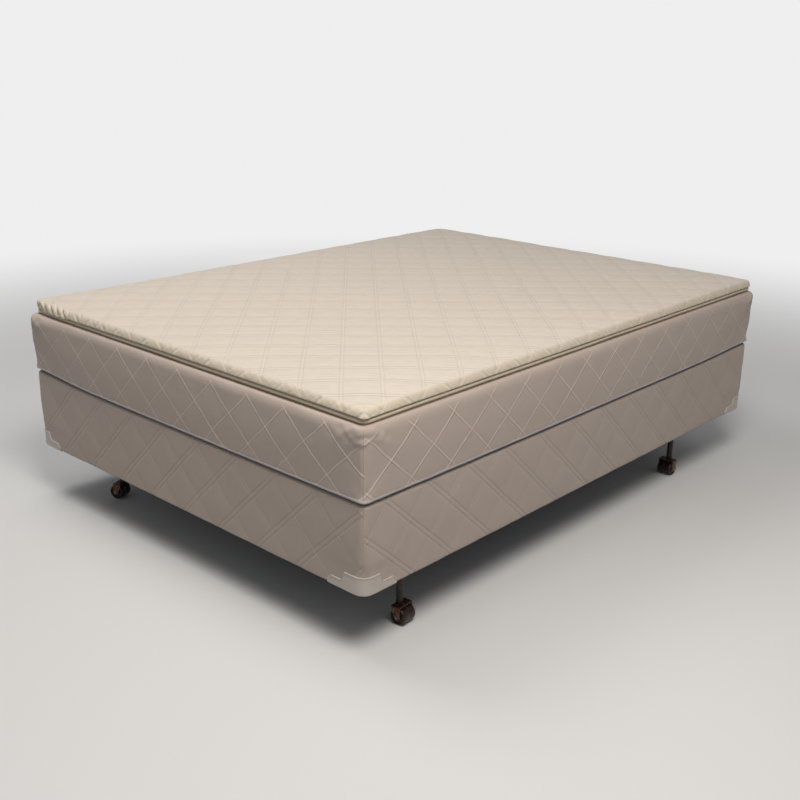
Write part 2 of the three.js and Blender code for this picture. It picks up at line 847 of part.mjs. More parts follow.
// The space inside the cover, for pieces that fill it
function foundationCavity() {
  const inset = foundationFabric + seatGap;
  const corner = foundationTopEdge - inset;
  return solidOf(lofted([
    bedOutline(inset, foundationBase),
    bedOutline(inset, foundationTop - foundationTopEdge),
    bedOutline(inset + corner, deckTop),
  ]));
}

function foundationBoard(low, high, cavity) {
  return geometryOf(solidOf(boxBetween([...low, boardBase], [...high, boardTop])).intersect(cavity));
}

function deckPanel(cavity) {
  const slab = boxBetween([-bedLength, -bedWidth, boardTop + seatGap], [bedLength, bedWidth, deckTop]);
  return geometryOf(solidOf(slab).intersect(cavity));
}

function dustCover() {
  const inset = foundationFabric + seatGap;
  return lofted([
    bedOutline(inset, foundationBase),
    bedOutline(inset, foundationBase + dustCoverThickness),
  ]);
}

// Corner guard: a skin round the corner with a lip below, trimmed to a tab with two low wings
function cornerGuard(signX, signY) {
  const lipLow = foundationBase - seatGap - guardThickness;
  const top = foundationBase + guardTabHeight;
  const outerSkin = solidOf(lofted([
    bedOutline(-seatGap - guardThickness, lipLow),
    bedOutline(-seatGap - guardThickness, top),
  ]));
  const inside = solidOf(lofted([
    bedOutline(-seatGap, foundationBase - seatGap),
    bedOutline(-seatGap, top + cutOverrun),
  ]));
  const lipHole = solidOf(lofted([
    bedOutline(guardLipReach, lipLow - cutOverrun),
    bedOutline(guardLipReach, top + cutOverrun),
  ]));
  const front = [
    [-guardHalfWidth, -cutOverrun - guardThickness],
    [guardHalfWidth, -cutOverrun - guardThickness],
    [guardHalfWidth, guardWingEndHeight],
    [guardWingShoulderHalfWidth, guardWingHeight],
    [guardStepHalfWidth, guardWingHeight],
    [guardTabHalfWidth, guardTabHeight],
    [-guardTabHalfWidth, guardTabHeight],
    [-guardStepHalfWidth, guardWingHeight],
    [-guardWingShoulderHalfWidth, guardWingHeight],
    [-guardHalfWidth, guardWingEndHeight],
  ];
  const trim = extrudedAlongY(front, -guardBoxSide, guardBoxSide);
  trim.rotateZ(Math.atan2(signY, signX) + Math.PI / 2);
  trim.translate((signX * bedLength) / 2, (signY * bedWidth) / 2, foundationBase);
  const guard = outerSkin.subtract(inside).subtract(lipHole).intersect(solidOf(trim));
  return geometryOf(guard);
}

// Steel frame

// The outer face of a side rail's turned-down flange, measured out from the frame's centre line
const railOuter = legAcross / 2 + legDiameter / 2 + legPlateThickness + seatGap + railThickness;
const flangeInner = railOuter - railThickness;

// A rivet along Y with its shank through a flange and a head beyond its outer face
function rivet(from, side) {
  const head = seatGap + railThickness + seatGap;
  const geometry = turned([
    [0, -from],
    [rivetShankDiameter / 2, -from],
    [rivetShankDiameter / 2, head],
    [rivetHeadDiameter / 2, head],
    [rivetHeadDiameter / 2, head + rivetHeadHeight / 2],
    [rivetShankDiameter / 2, head + rivetHeadHeight],
    [0, head + rivetHeadHeight],
  ], rivetSides);
  return geometry.rotateX((-side * Math.PI) / 2);
}

const legXs = {
  right: [-legSpacing / 2 + legStagger, legSpacing / 2 + legStagger],
  left: [-legSpacing / 2 - legStagger, legSpacing / 2 - legStagger],
};
const crossXs = [-crossRailSpacing / 2, 0, crossRailSpacing / 2];
const rivetZ = railTop - rivetDrop;

// Side rail: an angle with rivet holes for its legs and the cross rails, and bolt holes near its
// ends for a headboard's or footboard's bracket
function sideRail(side, legs) {
  const outer = side * railOuter;
  const inner = side * flangeInner;
  const edge = side * (railOuter - railFlange);
  const section = orderedOutline([
    [outer, railTop - railFlange],
    [outer, railTop],
    [edge, railTop],
    [edge, flangeUnderside],
    [inner, flangeUnderside],
    [inner, railTop - railFlange],
  ]);
  let rail = solidOf(extrudedAlongX(section, -railLength / 2, railLength / 2));
  const drill = (radius, x) => {
    const hole = bar(radius, -railThickness, railThickness, rivetSides).rotateX(Math.PI / 2);
    hole.translate(x, (outer + inner) / 2, rivetZ);
    rail = rail.subtract(solidOf(hole));
  };
  for (const x of [...legs, ...crossXs]) {
    for (const offset of [-rivetSpacing / 2, rivetSpacing / 2]) {
      drill(rivetShankDiameter / 2 + runningClearance, x + offset);
    }
  }
  for (const end of [-1, 1]) {
    for (const inset of [bracketHoleInset, bracketHoleInset + bracketHoleSpacing]) {
      drill(bracketHoleDiameter / 2, end * (railLength / 2 - inset));
    }
  }
  return geometryOf(rail);
}

// Cross rail: an angle with a plate at each end that is riveted to the side rails
function crossRail() {
  const reach = flangeInner - seatGap;
  const flangeReach = railOuter - railFlange - seatGap;
  const flange = solidOf(boxBetween(
    [0, -flangeReach, flangeUnderside],
    [railFlange, flangeReach, railTop],
  ));
  const web = solidOf(boxBetween(
    [0, -reach, railTop - railFlange],
    [railThickness, reach, flangeUnderside - seatGap],
  ));
  const weld = solidOf(boxBetween(
    [0, -flangeReach, flangeUnderside - railThickness],
    [railThickness, flangeReach, railTop],
  ));
  let rail = flange.add(web).add(weld);
  for (const side of [-1, 1]) {
    const faces = [side * reach, side * (reach - legPlateThickness)].sort((a, b) => a - b);
    rail = rail.add(solidOf(boxBetween(
      [-legPlateLength / 2, faces[0], railTop - railFlange],
      [legPlateLength / 2, faces[1], flangeUnderside - seatGap],
    )));
    for (const offset of [-rivetSpacing / 2, rivetSpacing / 2]) {
      const pin = rivet(legPlateThickness / 2, side);
      rail = rail.add(solidOf(pin.translate(offset, side * reach, rivetZ)));
    }
  }
  return geometryOf(rail);
}

// Leg: a tube welded to a plate that is riveted to the side rail
function leg(side) {
  const tube = solidOf(bar(legDiameter / 2, legBase, legTop));
  const bore = solidOf(bar(legDiameter / 2 - legWall, legBase - cutOverrun, legTop + cutOverrun));
  const plateFace = legDiameter / 2 + legPlateThickness;
  const faces = [side * plateFace, side * (plateFace - legPlateThickness - legWall / 2)];
  faces.sort((a, b) => a - b);
  const plate = solidOf(boxBetween(
    [-legPlateLength / 2, faces[0], railTop - railFlange],
    [legPlateLength / 2, faces[1], legTop],
  ));
  let post = tube.add(plate).subtract(bore);
  for (const offset of [-rivetSpacing / 2, rivetSpacing / 2]) {
    const pin = rivet(legPlateThickness / 2, side);
    post = post.add(solidOf(pin.translate(offset, side * plateFace, rivetZ)));
  }
  return geometryOf(post);
}

// Caster socket: a flanged sleeve pushed up the leg's bore
function casterSocket() {
  const inner = stemDiameter / 2 + runningClearance;
  const outer = legDiameter / 2 - legWall - seatGap;
  return turned([
    [inner, socketBase],
    [socketFlangeDiameter / 2, socketBase],
    [socketFlangeDiameter / 2, socketBase + socketFlangeHeight],
    [outer, socketBase + socketFlangeHeight],
    [outer, socketBase + socketLength],
    [inner, socketBase + socketLength],
    [inner, socketBase],
  ], roundSides);
}

// Yoke: a strap over the roller with the stem on top, its roller's axle along X and trail along Y
function casterYoke() {
  const leaf = new THREE.Shape();
  leaf.moveTo(-yokeFrontReach, yokeTop);
  leaf.lineTo(-yokeLeafRadius, axleHeight);
  leaf.absarc(0, axleHeight, yokeLeafRadius, Math.PI, 2 * Math.PI, false);
  leaf.lineTo(yokeBackReach, yokeUnderside - yokeTopClearance);
  leaf.lineTo(yokeBackReach, yokeTop);
  const points = leaf.extractPoints(rivetSides).shape.map(({ x, y }) => [x, y]);
  const outline = orderedOutline(points);
  const strap = solidOf(extrudedAlongX(outline, -yokeOutside, yokeOutside));
  const inside = solidOf(boxBetween(
    [-yokeInside, -yokeBackReach - cutOverrun, floorZ],
    [yokeInside, yokeBackReach + cutOverrun, yokeUnderside],
  ));
  const axleHole = bar(axleDiameter / 2 + runningClearance, -rollerWidth, rollerWidth).rotateY(Math.PI / 2);
  axleHole.translate(0, 0, axleHeight);
  const stem = turned([
    [0, yokeUnderside],
    [stemCollarDiameter / 2, yokeUnderside],
    [stemCollarDiameter / 2, yokeTop + stemCollarHeight],
    [stemDiameter / 2, yokeTop + stemCollarHeight],
    [stemDiameter / 2, yokeTop + stemLength],
    [0, yokeTop + stemLength],
  ], roundSides);
  stem.translate(0, casterTrail, 0);
  const yoke = strap.subtract(inside).subtract(solidOf(axleHole)).add(solidOf(stem));
  return geometryOf(yoke);
}

// Roller: a wide drum with eased edges and dished ends
function casterRoller() {
  const half = rollerWidth / 2;
  const radius = rollerDiameter / 2;
  const bore = axleDiameter / 2 + runningClearance;
  const end = [
    [bore, half - rollerDish],
    [radius - rollerEdge - rollerDish, half - rollerDish],
    [radius - rollerEdge, half],
    [radius, half - rollerEdge],
  ];
  const other = end.map(([r, z]) => [r, -z]).reverse();
  const geometry = turned([...end, ...other, end[0]].reverse(), rollerSides);
  geometry.rotateZ(Math.PI / rollerSides);
  return geometry.rotateY(Math.PI / 2);
}

// Axle: a pin along X with a head outside each leaf of the yoke
function casterAxle() {
  const shank = axleDiameter / 2;
  const head = axleHeadDiameter / 2;
  const face = yokeOutside + seatGap;
  const end = face + axleHeadHeight;
  const geometry = turned([
    [0, -end],
    [head, -end],
    [head, -face],
    [shank, -face],
    [shank, face],
    [head, face],
    [head, end],
    [0, end],
  ], roundSides);
  return geometry.rotateY(Math.PI / 2);
}

// Centre leg: a tube under a plate that is held against the middle cross rail
function centreLeg() {
  const tube = solidOf(bar(legDiameter / 2, floorZ + glideHeight + seatGap, legTop));
  const plate = solidOf(boxBetween(
    [-legDiameter / 2, -centreLegPlateWidth / 2, legTop - legPlateThickness],
    [legDiameter / 2, centreLegPlateWidth / 2, legTop],
  ));
  const bore = solidOf(bar(legDiameter / 2 - legWall, floorZ, legTop - legPlateThickness));
  return geometryOf(tube.add(plate).subtract(bore));
}

// Glide: a round foot whose stem turns in the centre leg
function centreGlide() {
  const radius = glideDiameter / 2;
  return turned([
    [0, floorZ],
    [radius - glideEdge, floorZ],
    [radius, floorZ + glideEdge],
    [radius, floorZ + glideHeight - glideEdge],
    [radius - glideEdge, floorZ + glideHeight],
    [glideStemDiameter / 2, floorZ + glideHeight],
    [glideStemDiameter / 2, floorZ + glideHeight + glideStemLength],
    [0, floorZ + glideHeight + glideStemLength],
  ], roundSides);
}

// Assembly

function buildMattress() {
  const mattress = new THREE.Group();
  const cavity = casingCavity(seatGap);
  addMesh(mattress, 'casing_cover', casing(), materials.knitSide);
  addMesh(mattress, 'bottom_edge_tape', edgeTape(), materials.edgeTape);
  addMesh(mattress, 'zipper_band', zipperBand(), materials.zipperTape);
  const slider = addMesh(mattress, 'zipper_slider', zipperSlider(), materials.zipperMetal);
  slider.position.y = sliderStart;
  const pull = addMesh(mattress, 'zipper_pull', zipperPull(), materials.zipperMetal);
  pull.position.set(pullCentreX, sliderStart, weltCentreZ);
  addMesh(mattress, 'pillow_top_cover', pillowCover(), materials.knit);
  addMesh(mattress, 'pillow_top_fill', pillowFill(), materials.fibre);
  addMesh(mattress, 'base_foam', baseFoam(cavity), materials.foam);
  addMesh(mattress, 'foam_wall_right', sideFoam(-1, cavity), materials.foam);
  addMesh(mattress, 'foam_wall_left', sideFoam(1, cavity), materials.foam);
  addMesh(mattress, 'foam_wall_foot', endFoam(-1, cavity), materials.foam);
  addMesh(mattress, 'foam_wall_head', endFoam(1, cavity), materials.foam);
  addMesh(mattress, 'safety_liner', safetyLiner(), materials.liner);
  addMesh(mattress, 'bladder', bladder(), materials.vinyl);
  addMesh(mattress, 'fibre_baffle', fibreBaffle(), materials.fibre);
  addMesh(mattress, 'water_fill', waterFill(), materials.water);
  addMesh(mattress, 'fill_cap', fillCap(), materials.vinyl).position.set(neckX, 0, wellFloor);
  addMesh(mattress, 'heater_pad', heaterPad(), materials.heater);
  const gland = addMesh(mattress, 'heater_gland', heaterGland(), materials.blackPlastic);
  gland.position.set(bedLength / 2, glandY, borderBase + glandHeight);
  return mattress;
}

function buildFoundation() {
  const foundation = new THREE.Group();
  const cavity = foundationCavity();
  const halfX = bedLength / 2 - foundationFabric - seatGap;
  const halfY = bedWidth / 2 - foundationFabric - seatGap;
  const endInner = halfX - boardThickness;
  const sideInner = halfY - boardThickness;
  const boards = {
    side_board_right: [[-halfX, -halfY], [halfX, -sideInner]],
    side_board_left: [[-halfX, sideInner], [halfX, halfY]],
    end_board_foot: [[-halfX, -sideInner + seatGap], [-endInner, sideInner - seatGap]],
    end_board_head: [[endInner, -sideInner + seatGap], [halfX, sideInner - seatGap]],
    centre_beam: [
      [-endInner + seatGap, -beamThickness / 2],
      [endInner - seatGap, beamThickness / 2],
    ],
  };
  addMesh(foundation, 'foundation_cover', foundationCover(), materials.knitSide);
  for (const [name, [low, high]] of Object.entries(boards)) {
    addMesh(foundation, name, foundationBoard(low, high, cavity), materials.pine);
  }
  addMesh(foundation, 'deck_panel', deckPanel(cavity), materials.plywood);
  addMesh(foundation, 'dust_cover', dustCover(), materials.dustCover);
  const corners = {
    corner_guard_foot_right: [-1, -1],
    corner_guard_head_right: [1, -1],
    corner_guard_foot_left: [-1, 1],
    corner_guard_head_left: [1, 1],
  };
  for (const [name, signs] of Object.entries(corners)) {
    addMesh(foundation, name, cornerGuard(...signs), materials.whitePlastic);
  }
  return foundation;
}

// A caster about its stem, turned by a swivel angle so that it stands as it was left
function buildCaster(name, swivelDegrees) {
  const caster = new THREE.Group();
  const wheel = new THREE.Group();
  wheel.position.y = -casterTrail;
  caster.add(wheel);
  caster.rotation.z = THREE.MathUtils.degToRad(swivelDegrees);
  addMesh(wheel, `caster_yoke_${name}`, casterYoke(), materials.yokeSteel);
  addMesh(wheel, `caster_roller_${name}`, casterRoller(), materials.roller).position.z = axleHeight;
  addMesh(wheel, `caster_axle_${name}`, casterAxle(), materials.axleSteel).position.z = axleHeight;
  return caster;
}

function buildFrame() {
  const frame = new THREE.Group();
  frame.position.set(frameShiftX, frameShiftY, 0);
  const swivels = { foot_right: 5, head_right: 270, foot_left: 202, head_left: 180 };
  const sides = { right: -1, left: 1 };
  const ends = ['foot', 'head'];
  for (const [sideName, side] of Object.entries(sides)) {
    const legs = legXs[sideName];
    addMesh(frame, `side_rail_${sideName}`, sideRail(side, legs), materials.brownSteel);
    ends.forEach((end, index) => {
      const name = `${end}_${sideName}`;
      const post = addMesh(frame, `leg_${name}`, leg(side), materials.brownSteel);
      const place = [legs[index], (side * legAcross) / 2, 0];
      post.position.set(...place);
      addMesh(frame, `caster_socket_${name}`, casterSocket(), materials.blackPlastic).position.set(...place);
      const caster = buildCaster(name, swivels[name]);
      caster.position.set(...place);
      frame.add(caster);
    });
  }
  ['foot', 'middle', 'head'].forEach((name, index) => {
    addMesh(frame, `cross_rail_${name}`, crossRail(), materials.brownSteel).position.x = crossXs[index];
  });
  const centreX = crossXs[1] + railThickness + seatGap + legDiameter / 2;
  addMesh(frame, 'centre_leg', centreLeg(), materials.brownSteel).position.x = centreX;
  addMesh(frame, 'centre_glide', centreGlide(), materials.blackPlastic).position.x = centreX;
  return frame;
}

bed.add(buildMattress(), buildFoundation(), buildFrame());

export default bed;
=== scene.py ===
import json
import math

import bmesh
import bpy
import numpy as np
from mathutils import Matrix, Vector


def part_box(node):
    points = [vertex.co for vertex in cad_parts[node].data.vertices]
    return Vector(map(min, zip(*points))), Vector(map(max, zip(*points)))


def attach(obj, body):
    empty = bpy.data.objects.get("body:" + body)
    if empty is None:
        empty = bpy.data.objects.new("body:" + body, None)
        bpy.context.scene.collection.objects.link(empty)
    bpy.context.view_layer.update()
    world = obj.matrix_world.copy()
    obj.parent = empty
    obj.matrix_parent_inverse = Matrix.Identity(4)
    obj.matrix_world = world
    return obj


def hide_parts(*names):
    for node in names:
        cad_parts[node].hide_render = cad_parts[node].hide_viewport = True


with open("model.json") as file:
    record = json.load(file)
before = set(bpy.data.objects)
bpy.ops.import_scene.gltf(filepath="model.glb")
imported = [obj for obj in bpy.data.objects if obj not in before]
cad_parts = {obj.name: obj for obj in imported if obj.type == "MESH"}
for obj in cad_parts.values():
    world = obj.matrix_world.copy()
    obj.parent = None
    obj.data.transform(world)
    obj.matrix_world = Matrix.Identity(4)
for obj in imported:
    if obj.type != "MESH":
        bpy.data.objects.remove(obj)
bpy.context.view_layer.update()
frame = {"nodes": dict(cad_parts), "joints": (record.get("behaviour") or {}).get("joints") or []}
nodes = frame["nodes"]
joints = {joint["name"]: joint for joint in frame["joints"]}

# Units are metres. X runs along the bed to its head, Y across it to its left side, Z up.

# Camera, fitted to the photograph's frame
IMAGE_SIZE = 800
FOCAL_PIXELS = 1060
SENSOR_WIDTH = 36.0
CAMERA_PLACE = Vector((-2.673, -2.395, 1.504))
CAMERA_AZIMUTH = math.radians(-47.46)
CAMERA_ELEVATION = math.radians(18.95)
CAMERA_ROLL = math.radians(0.78)

# The bed's outline and levels, from the frame
foundation_low, foundation_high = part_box("foundation_cover")
casing_low, casing_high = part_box("casing_cover")
band_low, band_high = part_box("zipper_band")
pillow_low, pillow_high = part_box("pillow_top_cover")
bladder_low, bladder_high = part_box("bladder")
cap_low, cap_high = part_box("fill_cap")
HALF_LENGTH = foundation_high.x
HALF_WIDTH = foundation_high.y
CORNER_RADIUS = 0.028

# How far a film's mesh stands off the face that its solid rests on
SEAT = 0.0004

# Resolution of the soft skins
CELL = 0.0053
FINE_CELL = 0.0022
FINE_FROM = 0.34
COARSE_CELL = 0.021
CORNER_STEPS = 8
WALL_ROWS = 52
QUARTER = np.linspace(0, math.pi / 2, 7)

# Quilting: each family of lines as (place of one line, slope of the lines, pitch), with the height
# at which the place holds. The lines run 45 degrees or so to the sides.
TOP_PITCH = 0.147
TOP_RISING_PLACE = -0.187
TOP_FALLING_PLACE = 0.003
DIAMOND = TOP_PITCH / math.sqrt(2)
CASING_LINES = {
    "x": {"level": 0.529, "rising": (-0.927, 1.093, 0.153), "falling": (-0.927, -1.093, 0.153)},
    "y": {"level": 0.548, "rising": (0.034, 1.08, 0.149), "falling": (0.034, -1.08, 0.149)},
}
FOUNDATION_LINES = {
    "x": {"level": 0.320, "rising": (-0.872, 0.82, 0.143), "falling": (-0.825, -1.1, 0.162)},
    "y": {"level": 0.320, "rising": (-0.187, 1.0, 0.163), "falling": (0.158, -1.04, 0.163)},
}
TOP_REACH = 0.009
WALL_REACH = 0.012


# Numbers


def smooth(value, low, high):
    """0 below low, 1 above high, with an eased rise between."""
    share = np.clip((np.asarray(value, float) - low) / (high - low), 0, 1)
    return share * share * (3 - 2 * share)


def bump(distance, width):
    """1 at zero distance, falling off over a width."""
    return np.exp(-((np.asarray(distance, float) / width) ** 2))


def waves(first, second, wavelength, seed, count=9):
    """A smooth random field of about -1 to 1, from plane waves of about one wavelength."""
    random = np.random.default_rng(seed)
    total = np.zeros(np.broadcast(first, second).shape)
    for _ in range(count):
        angle = random.uniform(0, math.pi)
        number = 2 * math.pi / (wavelength * random.uniform(0.7, 1.5))
        phase = random.uniform(0, 2 * math.pi)
        total += np.sin(number * (math.cos(angle) * first + math.sin(angle) * second) + phase)
    return total / math.sqrt(2 * count)


# Quilting


def wall_phases(lines, side, place, height):
    """How many pitches a point of a wall lies past a line, for both families of lines."""
    result = []
    for family in ("rising", "falling"):
        values = []
        for key in ("x", "y"):
            origin, slope, pitch = lines[key][family]
            values.append((place - origin - slope * (height - lines[key]["level"])) / pitch)
        result.append(np.where(side % 2 == 0, *values))
    return result


def top_phases(x, y):
    return [(x - y - TOP_RISING_PLACE) / TOP_PITCH, (x + y - TOP_FALLING_PLACE) / TOP_PITCH]


def from_line(phase):
    """The distance from the nearest line, in metres."""
    return np.abs(phase - np.round(phase)) * DIAMOND


def swell(phases, reach):
    """How far the fabric stands off its lines: 0 on a line and 1 well inside a diamond."""
    near = [1 - np.exp(-((from_line(phase) / reach) ** 1.5)) for phase in phases]
    return near[0] * near[1]


# Meshes


class Outline:
    """Samples round the bed, counter-clockwise from above. Each has a base point on the rectangle
    that the corner arcs turn about, and a direction out of the bed. Each column lies between a
    sample and the next one, on one side of the bed, with its places along that side."""

    def __init__(self, xs, ys):
        self.xs, self.ys = xs, ys
        i, j = np.arange(len(xs)), np.arange(len(ys))
        walks = [(i, 0 * i), (0 * j + i[-1], j), (i[::-1], 0 * i + j[-1]), (0 * j, j[::-1])]
        turn, half = math.pi / 2 / CORNER_STEPS, CORNER_STEPS // 2
        walked_i, walked_j, angle, side, place, start, end, column_side = [[] for _ in range(8)]
        for index, (i, j) in enumerate(walks):
            following = (index + 1) % 4
            way, next_way = (1 if number < 2 else -1 for number in (index, following))
            along = (xs[i], ys[j])[index % 2]
            next_start = (xs[i[-1]], ys[j[-1]])[following % 2]
            before = along[-1] + way * CORNER_RADIUS * turn * np.arange(half + 1)
            after = next_start - next_way * CORNER_RADIUS * turn * np.arange(half, -1, -1)
            walked_i += [i, np.full(CORNER_STEPS - 1, i[-1])]
            walked_j += [j, np.full(CORNER_STEPS - 1, j[-1])]
            steps = np.append(0 * i, np.arange(1, CORNER_STEPS))
            angle.append((index - 1) * math.pi / 2 + steps * turn)
            side += [index] * (len(i) + half) + [following] * (half - 1)
            column_side += [index] * (len(i) - 1 + half) + [following] * half
            place += [along, before[1:], after[1:-1]]
            start += [along[:-1], before[:-1], after[:-1]]
            end += [along[1:], before[1:], after[1:]]
        walked_i, walked_j = np.concatenate(walked_i), np.concatenate(walked_j)
        self.grid_index = walked_i * len(ys) + walked_j
        self.base = np.stack([xs[walked_i], ys[walked_j]], axis=1)
        self.angle = np.concatenate(angle)
        self.out = np.stack([np.cos(self.angle), np.sin(self.angle)], axis=1)
        self.side, self.column_side = np.array(side), np.array(column_side)
        self.place, self.start, self.end = (np.concatenate(part) for part in (place, start, end))
        self.count = len(self.base)
        self.turning = np.abs(np.sin(2 * self.angle))

    def from_corner(self, sign_x, sign_y, share=1.0):
        """The samples' distance from a corner, moved out by a share of the corner radius."""
        x, y = (self.base + self.out * CORNER_RADIUS * share).T
        return np.hypot(HALF_LENGTH * sign_x - x, HALF_WIDTH * sign_y - y)

    def near(self, sign_x, sign_y, reach):
        """1 at one corner of the bed, falling off over a reach."""
        return bump(self.from_corner(sign_x, sign_y), reach)

    def length(self, closed=False):
        """The samples' places along the outline, or its whole length."""
        x, y = (self.base + self.out * CORNER_RADIUS).T
        steps = np.hypot(np.diff(np.append(x, x[0])), np.diff(np.append(y, y[0])))
        return steps.sum() if closed else np.append(0, np.cumsum(steps[:-1]))

    def points(self, insets, heights):
        """Rings of points, one for each row of insets from the outline and of heights."""
        away = CORNER_RADIUS - np.asarray(insets, float)
        xy = self.base + self.out * away[..., None]
        z = np.broadcast_to(heights, away.shape)
        return np.concatenate([xy, z[..., None]], axis=2)

    def spread(self, values):
        """A column of values, the same all round the outline."""
        return np.asarray(values, float)[..., None] + np.zeros(self.count)


def places(half, cell, fine_from=None):
    """Places from -half to half, a cell apart, and closer together beyond a place."""
    last = half if fine_from is None else fine_from
    wide = np.linspace(-half, last, int(round((last + half) / cell)) + 1)
    if fine_from is None:
        return wide
    close = np.linspace(fine_from, half, int(round((half - fine_from) / FINE_CELL)) + 1)
    return np.append(wide, close[1:])


def box_outline(half_x, half_y, cell, fine_from=None):
    return Outline(places(half_x - CORNER_RADIUS, cell), places(half_y - CORNER_RADIUS, cell, fine_from))


fine = box_outline(HALF_LENGTH, HALF_WIDTH, CELL, FINE_FROM)
coarse = box_outline(HALF_LENGTH, HALF_WIDTH, COARSE_CELL)


def ring_faces(rows, count, closed=False):
    """Quads between rings of points, facing out where the rings run upwards."""
    total = rows if closed else rows - 1
    row, column = np.meshgrid(np.arange(total), np.arange(count), indexing="ij")
    here, after = row * count, ((row + 1) % rows) * count
    following = (column + 1) % count
    quads = [here + column, here + following, after + following, after + column]
    return np.stack(quads, axis=-1).reshape(-1, 4)


def grid_faces(rows, columns):
    """Quads, facing up, over a grid of points."""
    i, j = np.meshgrid(np.arange(rows - 1), np.arange(columns - 1), indexing="ij")
    corner = i * columns + j
    quads = [corner, corner + columns, corner + columns + 1, corner + 1]
    return np.stack(quads, axis=-1).reshape(-1, 4)


def ring_values(outline, rows, value):
    """A pair of numbers at each corner of the ring faces; value(side, place, row) gives them."""
    row, column = np.meshgrid(np.arange(rows - 1), np.arange(outline.count), indexing="ij")
    side = outline.column_side[column]
    corners = []
    for along, step in ((outline.start, 0), (outline.end, 0), (outline.end, 1), (outline.start, 1)):
        corners.append(np.stack(value(side, along[column], row + step), axis=-1))
    return np.stack(corners, axis=2).reshape(-1, 4, 2)


def shut(points, faces, count, level, first=0, up=False):
    """Closes a ring with triangles about a middle point, which joins the other points."""
    for column in range(count):
        pair = [first + column, first + (column + 1) % count]
        faces.append([*(pair if up else pair[::-1]), len(points)])
    return np.vstack([points, [[0, 0, level]]])


def new_mesh(name, points, faces, quilt=()):
    """A mesh object from arrays. quilt holds a pair of numbers for each corner of the first faces."""
    mesh = bpy.data.meshes.new(name)
    mesh.from_pydata(np.asarray(points, float).reshape(-1, 3).tolist(), [], faces)
    if len(quilt):
        values = np.zeros((len(mesh.loops), 2), np.float32)
        values[:len(quilt)] = quilt
        mesh.uv_layers.new(name="quilt").data.foreach_set("uv", values.ravel())
    set_faces(mesh, "use_smooth", np.ones(len(mesh.polygons), bool))
    mesh.update()
    obj = bpy.data.objects.new(name, mesh)
    bpy.context.scene.collection.objects.link(obj)
    return obj


def set_faces(mesh, key, values):
    mesh.polygons.foreach_set(key, values)


def last_faces(faces, count):
    """1 for the last faces and 0 for the others."""
    return (np.arange(len(faces)) >= len(faces) - count).astype(np.int32)


def rework(obj, change):
    """Changes a piece's mesh; change(work) gets it for editing."""
    work = bmesh.new()
    work.from_mesh(obj.data)
    change(work)
    work.to_mesh(obj.data)
    work.free()


def dress(obj, body, slot, *materials, replaces=()):
    """Gives a piece its materials, its body and the nodes that it stands for; its slot is not used."""
    for material in materials:
        obj.data.materials.append(material)
    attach(obj, body)
    if replaces:
        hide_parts(*replaces)


def spline_weights(old, new):
    """How much each old place counts at each new one, along a smooth curve through the old values."""
    position = np.interp(new, old, np.arange(len(old)))
    index = np.clip(np.floor(position).astype(int), 0, len(old) - 2)
    t = position - index
    parts = (-0.5 * t + t ** 2 - 0.5 * t ** 3, 1 - 2.5 * t ** 2 + 1.5 * t ** 3,
             0.5 * t + 2 * t ** 2 - 1.5 * t ** 3, -0.5 * t ** 2 + 0.5 * t ** 3)
    weights = np.zeros((len(new), len(old)))
    for offset, part in zip((-1, 0, 1, 2), parts):
        np.add.at(weights, (np.arange(len(new)), np.clip(index + offset, 0, len(old) - 1)), part)
    return weights


def refine(values, rows):
    """A field over the coarse outline's rings, spread smoothly over finer rings."""
    lap = 4
    old, new = coarse.length(), fine.length()
    total = coarse.length(closed=True)
    wrapped = np.concatenate([old[-lap:] - total, old, old[:lap] + total])
    around = spline_weights(wrapped, new * total / fine.length(closed=True))
    upward = spline_weights(np.linspace(0, 1, len(values)), np.linspace(0, 1, rows))
    wide = np.concatenate([values[:, -lap:], values, values[:, :lap]], axis=1)
    return upward @ wide @ around.T


# Cloth

CLOTH_FRAMES = 20
CLOTH_SETTINGS = {"quality": 6, "mass": 0.3, "tension_stiffness": 20, "compression_stiffness": 20,
                  "shear_stiffness": 8, "bending_stiffness": 0.4, "air_damping": 2,
                  "use_pressure": True, "vertex_group_mass": "held"}


def settle(name, points, faces, held, pressure):
    """Where a coarse skin comes to rest when it is puffed up, held as strongly as told."""
    obj = new_mesh(name, points, faces)
    mesh = obj.data
    group = obj.vertex_groups.new(name="held")
    for index, weight in enumerate(np.clip(held, 0, 1).tolist()):
        if weight > 0.01:
            group.add([index], weight, "REPLACE")
    cloth = obj.modifiers.new("cloth", "CLOTH")
    for key, value in CLOTH_SETTINGS.items():
        setattr(cloth.settings, key, value)
    cloth.settings.uniform_pressure_force = pressure
    cloth.settings.effector_weights.gravity = 0
    cloth.collision_settings.use_collision = False
    cloth.collision_settings.use_self_collision = False
    cloth.point_cache.frame_start = 1
    cloth.point_cache.frame_end = CLOTH_FRAMES
    for step in range(1, CLOTH_FRAMES + 1):
        bpy.context.scene.frame_set(step)
    evaluated = obj.evaluated_get(bpy.context.evaluated_depsgraph_get())
    moved = np.empty(len(mesh.vertices) * 3)
    evaluated.data.vertices.foreach_get("co", moved)
    bpy.data.objects.remove(obj)
    bpy.data.meshes.remove(mesh)
    bpy.context.scene.frame_set(1)
    return moved.reshape(np.shape(points))


# Materials


def tone(colour, factor):
    return tuple(min(1.0, channel * factor) for channel in colour)


